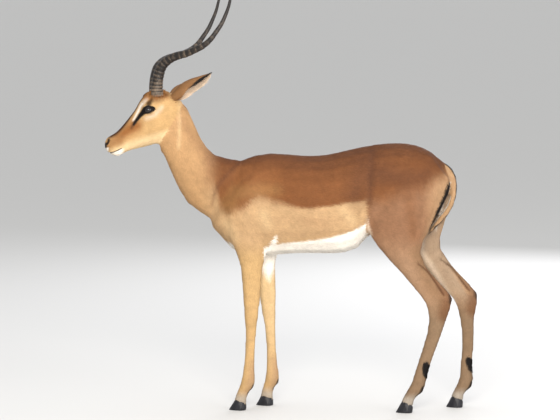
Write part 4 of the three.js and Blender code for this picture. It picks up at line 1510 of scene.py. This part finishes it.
def keratin(name, dark, light, roughness, grain, turn_scale, hollows=False):
    """Horn or hoof: layered keratin, streaked along its growth, with painted shade in the hollows between
    rings.
    """
    material, tree, shader = new_material(name)
    place = add(tree, "TexCoord", {}).outputs["Object"]
    along = add(tree, "Mapping", {"Vector": place, "Scale": turn_scale}).outputs["Vector"]
    noise = add(tree, "TexNoise", {"Vector": along, "Scale": 1 / grain, "Detail": 4.0,
                                   "Roughness": 0.62}).outputs["Fac"]
    wear_and_shade = add(tree, "TexNoise", {"Vector": place, "Scale": 1 / WEAR_SIZE, "Detail": 3.0}).outputs["Fac"]
    tone = add(tree, "Mix", {0: WEAR_SHARE, 2: noise, 3: wear_and_shade}, data_type="FLOAT").outputs[0]
    if hollows:
        # painted shade: darker where the hollow attribute marks the hollows between the rings
        hollow = add(tree, "Attribute", {}, attribute_name="hollow").outputs["Fac"]
        depth = add(tree, "Math", {0: hollow, 1: 0.30}, operation="MULTIPLY").outputs["Value"]
        tone = add(tree, "Math", {0: tone, 1: depth}, operation="SUBTRACT").outputs["Value"]
    ramp = add(tree, "ValToRGB", {"Fac": tone})
    for stop, position, colour in zip(ramp.color_ramp.elements, (0.36, 0.66), (dark, light)):
        stop.position = position
        stop.color = (*linear(colour), 1)
    rough = add(tree, "MapRange", {"Value": tone, "To Min": roughness - 0.12,
                                   "To Max": roughness + 0.15}).outputs["Result"]
    bump = add(tree, "Bump", {"Height": noise, "Strength": 0.35, "Distance": 0.5 * MM})
    feed(tree, shader, {"Base Color": ramp.outputs["Color"], "Roughness": rough,
                        "Normal": bump.outputs["Normal"], "Specular IOR Level": 0.35})
    return material


def eye_material():
    """A wet eye: nearly black brown, with a clear coat for the tear film."""
    material, tree, shader = new_material("wet_eye")
    colour = add(tree, "Attribute", {}, attribute_name="iris").outputs["Color"]
    feed(tree, shader, {"Base Color": colour, "Roughness": 0.12, "IOR": CORNEA_IOR,
                        "Specular IOR Level": 0.1, "Coat Weight": 0.85, "Coat Roughness": 0.03})
    return material


eye_finish = eye_material()
horn_finish = keratin("ringed_horn", "1a1512", "7c6b5a", 0.50, 1.5 * MM, (1, 1, 0.15), hollows=True)
# the faint blue in the hoof's two tones is a painted reflection of the sky
hoof_finish = keratin("hoof_horn", "0b0b0e", "222228", 0.42, 1.2 * MM, (1, 1, 4))
print("finishes:", horn_finish.name, hoof_finish.name, eye_finish.name)

# %% [markdown]
# ## Tufts
# Every tuft has five points and six faces. All of them are combed at once, as arrays, and turned into the
# posed animal with the skin. Making each with bmesh would give the same shape, but a loop over two hundred
# thousand tufts takes minutes where the arrays take a second.

# %% Comb the tufts
# the faces, by points: 0 the root, 1 and 2 the sides, 3 the crest, 4 the tip
LOZENGE = np.array([[0, 3, 1], [0, 2, 3], [0, 1, 2], [1, 3, 4], [3, 2, 4], [2, 1, 4]])
TUFT_ROUND = 0.22  # how far a tuft's shading turns away from the skin's at its edges
LENGTH_SPREAD, LIFT_SPREAD = (0.7, 1.25), (0.6, 1.0)
STRAY, SWIRL = 0.10, 0.12  # how far a tuft leans aside in radians: by itself, and with its neighbours
RAGGED = 2.0  # how far a single tuft's mark strays from the mark's edge
TUFT_TONES = (0.87, 1.11)


def comb(root, n, part):
    """Five points per tuft: the buried root, left, right and crest of the middle, and the tip."""
    count = len(root)
    length, width, lift = hair(root, n, part)
    length = length * rng.uniform(*LENGTH_SPREAD, count)
    way = lie(root, n, part)
    side = np.cross(n, way)
    stray = rng.normal(0, STRAY, count) + SWIRL * wobble(root, 45, 8)
    way = way * np.cos(stray)[:, None] + side * np.sin(stray)[:, None]
    side = np.cross(n, way)
    lift = lift * rng.uniform(*LIFT_SPREAD, count)

    def at(forward, across, up):
        return (root + way * (forward * length)[:, None] + side * (across * width / 2)[:, None]
                + n * (up * lift)[:, None])

    sunk = root - n * (0.25 * lift + 0.15)[:, None]
    points = np.stack([sunk, at(0.5, 1, 0.6), at(0.5, -1, 0.6), at(0.5, 0, 0.8), at(1, 0, 0.9)], 1)
    lean = np.stack([-way, side, -side, 0 * way, way], 1)
    return points, n[:, None] + TUFT_ROUND * lean


tufts, tuft_normals = comb(roots, root_normal, root_part)
fine = rng.normal(0, RAGGED, len(roots))
tuft_colour = markings(roots, root_normal, root_part, fine) * rng.uniform(*TUFT_TONES, (len(roots), 1))
print("tuft points:", tufts.shape)

# %% [markdown]
# ## A map of each coat
# A baked texture needs each tuft at a place of its own on a map. The skin of a part is unrolled like a
# paper tube: the share along it one way, the angle round its middle line the other. An automatic unwrap
# of so many lozenges would be slow, and would scatter neighbours over the whole map.

# %% Unroll the skin of a part
def unroll(s, n, part):
    """A root's place on the unrolled skin of its part: along the part, and round its own middle line."""
    flat = leg_frame(s, part)
    kind = part[0]
    if kind == EAR:
        long, inside, rim = ear_place(s, n)
        around = np.clip(rim, -1, 1) / 2 + 0.5
        strip, strips = 2 * (s[:, 1] > 0) + (inside > 0.5), 4
    else:
        limb = kind in (FORE, HIND)
        key, other = (0, 2) if kind in (HEAD, TRUNK) else (2, 0)
        long = (flat[:, key] - flat[:, key].min()) / np.ptp(flat[:, key])
        line = np.polyval(np.polyfit(flat[:, key], flat[:, other], 3), flat[:, key])
        beside = flat[:, 1] - flat[:, 1].mean() if limb else s[:, 1]
        around = np.arctan2(beside, flat[:, other] - line) / (2 * np.pi) + 0.5
        strip, strips = (s[:, 1] > 0) * limb, 2 if limb else 1
    return np.clip(np.stack([long, (strip + around) / strips], 1), 0.002, 0.998)


around = unroll(roots, root_normal, root_part)
print("a map of all roots would span", around.min(0).round(3), "to", around.max(0).round(3))

# %% [markdown]
# ## From arrays to meshes
# Blender takes points, corners and faces as flat lists. The normals are set too: each tuft is shaded
# mostly like the skin under it, because shading every lozenge by its own faces would look like scales.

# %% Meshes of tufts
BOX_LO, BOX_HI = (np.array(corner) for corner in cad_box)  # no hair reaches out of the model's own size
TUFT_ON_MAP = 0.003 * np.array([[0, -0.5], [0.5, 0], [-0.5, 0], [0, 0], [0, 0.5]])
SHADES = np.array([0.82, 0.96, 0.96, 1.02, 1.06])  # from the root of a tuft to its tip


def tuft_mesh(name, chosen):
    """The chosen tufts as one mesh in the frame, with their tones and soft shading."""
    count = int(chosen.sum())
    flat_points, flat_normals = tufts[chosen].reshape(-1, 3), tuft_normals[chosen].reshape(-1, 3)
    points = posed(flat_points)
    normals = posed(flat_points + flat_normals) - points
    points = np.clip(points, BOX_LO, BOX_HI)
    faces = (LOZENGE + 5 * np.arange(count)[:, None, None]).reshape(-1, 3)
    mesh = bpy.data.meshes.new(name)
    mesh.vertices.add(len(points))
    mesh.vertices.foreach_set("co", points.ravel())
    mesh.loops.add(faces.size)
    mesh.loops.foreach_set("vertex_index", faces.ravel())
    mesh.polygons.add(len(faces))
    mesh.polygons.foreach_set("loop_start", np.arange(0, faces.size, 3))
    mesh.update(calc_edges=True)
    place = unroll(roots[chosen], root_normal[chosen], root_part[chosen])[:, None] + TUFT_ON_MAP
    mesh.uv_layers.new(name="OFBake").uv.foreach_set("vector", place.reshape(-1, 2)[faces.ravel()].ravel())
    tones = tuft_colour[chosen][:, None] * SHADES[:, None]
    paint(mesh, "markings", np.clip(tones.reshape(-1, 3), 0, 1))
    mesh.polygons.foreach_set("use_smooth", [True] * len(faces))
    mesh.normals_split_custom_set_from_vertices(unit(normals))
    return mesh


print("a tuft takes", len(LOZENGE), "faces")

# %% [markdown]
# ## Put the pieces in place
# Each piece is turned into the animal's pose, shaded smooth, given its finish and hung on the body it rides
# on, and the CAD nodes it stands for are hidden.

# %% Place skin, horns and hooves
def finish(name, mesh, material, nodes=()):
    """Makes a posed mesh a smooth piece of the model, with its finish, on its body, and hides the nodes it
    replaces.
    """
    mesh.polygons.foreach_set("use_smooth", [True] * len(mesh.polygons))
    obj = piece(name, mesh, material)
    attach(obj, "root")
    if nodes:
        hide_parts(*nodes)


paint(body, "markings", colour)
facing, away = eye_frame(S)
wet = near(S, [-609, 6, 905], 13) | (away < EYE_RADIUS + LID + 1)
paint(body, "wet", wet)
paint(body, "upright", smooth(abs(way[:, 2]) - abs(way[:, 0]), -0.2, 0.2))
for mesh in [body, *horns.values(), *claws.values()]:
    put_points(mesh, posed(points_of(mesh)))
finish("skin", body, skin_finish, FLESH + EARS)
for name in SIDES:
    finish("horn_" + name + "_ringed", horns[name], horn_finish, ["horn_" + name])
for name in CLAWS:
    finish(name + "_hoof", claws[name], hoof_finish, [name])

# %% [markdown]
# ## Pupil and iris
# An antelope's pupil is a level oval in a dark brown iris. Both are paint on the globe, given as angles
# from the gaze. A modelled iris behind a clear cornea would be truer in close-up, but it is so dark that
# only the catchlight would tell them apart.

# %% Place the eyes and lashes
PUPIL, IRIS = (0.40, 0.20), 0.60  # half angles in radians: pupil long and short, and iris
for name in SIDES:
    facing, _ = eye_frame(points_of(eyes[name]))
    long, short = facing[:, 1], facing[:, 2]
    pupil = falls(np.hypot(long / PUPIL[0], short / PUPIL[1]), 0.9, 1.1)
    iris = falls(np.hypot(long, short), IRIS - 0.04, IRIS + 0.04) * (facing[:, 0] > 0)
    tint = lay(np.tile(HUES["globe"], (len(long), 1)), iris, "iris")
    paint(eyes[name], "iris", lay(tint, pupil * (facing[:, 0] > 0), "pupil"))
    put_points(eyes[name], posed(points_of(eyes[name])))
    finish("eye_" + name + "_globe", eyes[name], eye_finish, ["eye_" + name])
    paint(lashes[name], "markings", np.tile(HUES["black"], (len(lashes[name].vertices), 1)))
    put_points(lashes[name], posed(points_of(lashes[name])))
    finish("lashes_" + name, lashes[name], coat_finish)

# %% [markdown]
# ## The coat, part by part
# One coat would be too heavy to export whole, so it is cut by body part, and those of the head, the trunk
# and the legs into left and right. The tufts cross the borders freely, so no seam shows.

# %% Place the coat
COATS = {
    "head_left": (HEAD, LEFT), "head_right": (HEAD, RIGHT), "ears": (EAR, 0), "neck": (NECK, 0),
    "trunk_left": (TRUNK, LEFT), "trunk_right": (TRUNK, RIGHT),
    "foreleg_left": (FORE, LEFT), "foreleg_right": (FORE, RIGHT),
    "hindleg_left": (HIND, LEFT), "hindleg_right": (HIND, RIGHT), "tail": (TAIL, 0),
}
total = 0
for name, (kind, side) in COATS.items():
    chosen = (root_part == kind) & (roots[:, 1] * side >= 0)
    mesh = tuft_mesh("coat_" + name, chosen)
    finish("coat_" + name, mesh, coat_finish)
    total += len(mesh.polygons)
    print("coat_" + name, len(mesh.polygons), "triangles")
print("triangles of the coat:", total)

# %% [markdown]
# ## Camera
# The camera has a long lens, stands eleven metres off a little above the horns, and looks slightly down.
# A near camera with a short lens would swell the nearest parts.

# %% Camera
TARGET = Vector((-0.041, -0.0244, 0.688))
CAMERA_TURN, CAMERA_RISE, CAMERA_AWAY = math.radians(5), math.radians(5), 11.0
LENS = 205.0


def aim(obj, place, target):
    """Puts a lamp or camera in its place, looking at a target."""
    obj.location = place
    obj.rotation_euler = (Vector(target) - Vector(place)).to_track_quat("-Z", "Y").to_euler()
    bpy.context.scene.collection.objects.link(obj)


camera = bpy.data.objects.new("camera", bpy.data.cameras.new("camera"))
direction = Vector((math.sin(CAMERA_TURN) * math.cos(CAMERA_RISE),
                    -math.cos(CAMERA_TURN) * math.cos(CAMERA_RISE), math.sin(CAMERA_RISE)))
aim(camera, TARGET + direction * CAMERA_AWAY, TARGET)
camera.data.lens = LENS
camera.data.clip_end = 100
bpy.context.scene.camera = camera
print("camera", tuple(round(v, 3) for v in camera.location))

# %% [markdown]
# ## Light
# A large soft key lamp stands square to the animal's left side, with weaker ones to its rear, above it and
# on its far side, in a pale studio. One hard lamp would show the form as well, but would hide the belly.

# %% Lamps and backdrop
LAMPS = [  # name, place, size, watts, colour
    ("key", (0.7, -5.6, 2.6), 2.0, 335, "fffaf2"),
    ("fill", (4.2, -3.4, 1.8), 3.0, 95, "f8f9ff"),
    ("top", (0.4, 0.8, 4.5), 3.5, 60, "f4f7ff"),
    ("back", (1.5, 4.6, 2.4), 3.0, 110, "f8f9ff"),
]
for name, place, size, watts, colour in LAMPS:
    lamp = bpy.data.lights.new(name, "AREA")
    lamp.size = size
    lamp.energy = watts
    lamp.color = linear(colour)
    aim(bpy.data.objects.new(name, lamp), place, (0, 0, 0.7))
world = bpy.data.worlds.new("studio")
world.use_nodes = True
feed(world.node_tree, world.node_tree.nodes["Background"], {"Color": (*linear("e9eaec"), 1), "Strength": 1.0})
bpy.context.scene.world = world
bpy.context.scene.view_settings.view_transform = "Standard"
print("lamps:", [name for name, *_ in LAMPS])

# %% [markdown]
# ## Floor
# A plain floor so large that its edge lies far behind the animal. It is part of the stage and isn't
# exported.

# %% Floor
bm = bmesh.new()
bmesh.ops.create_grid(bm, x_segments=1, y_segments=1, size=200)
floor_finish, floor_tree, floor_shader = new_material("pale_floor")
feed(floor_tree, floor_shader, {"Base Color": (*linear("cccbc8"), 1), "Roughness": 0.8})
floor = piece("floor", mesh_from(bm, "floor"), floor_finish)
print("floor", tuple(floor.dimensions))
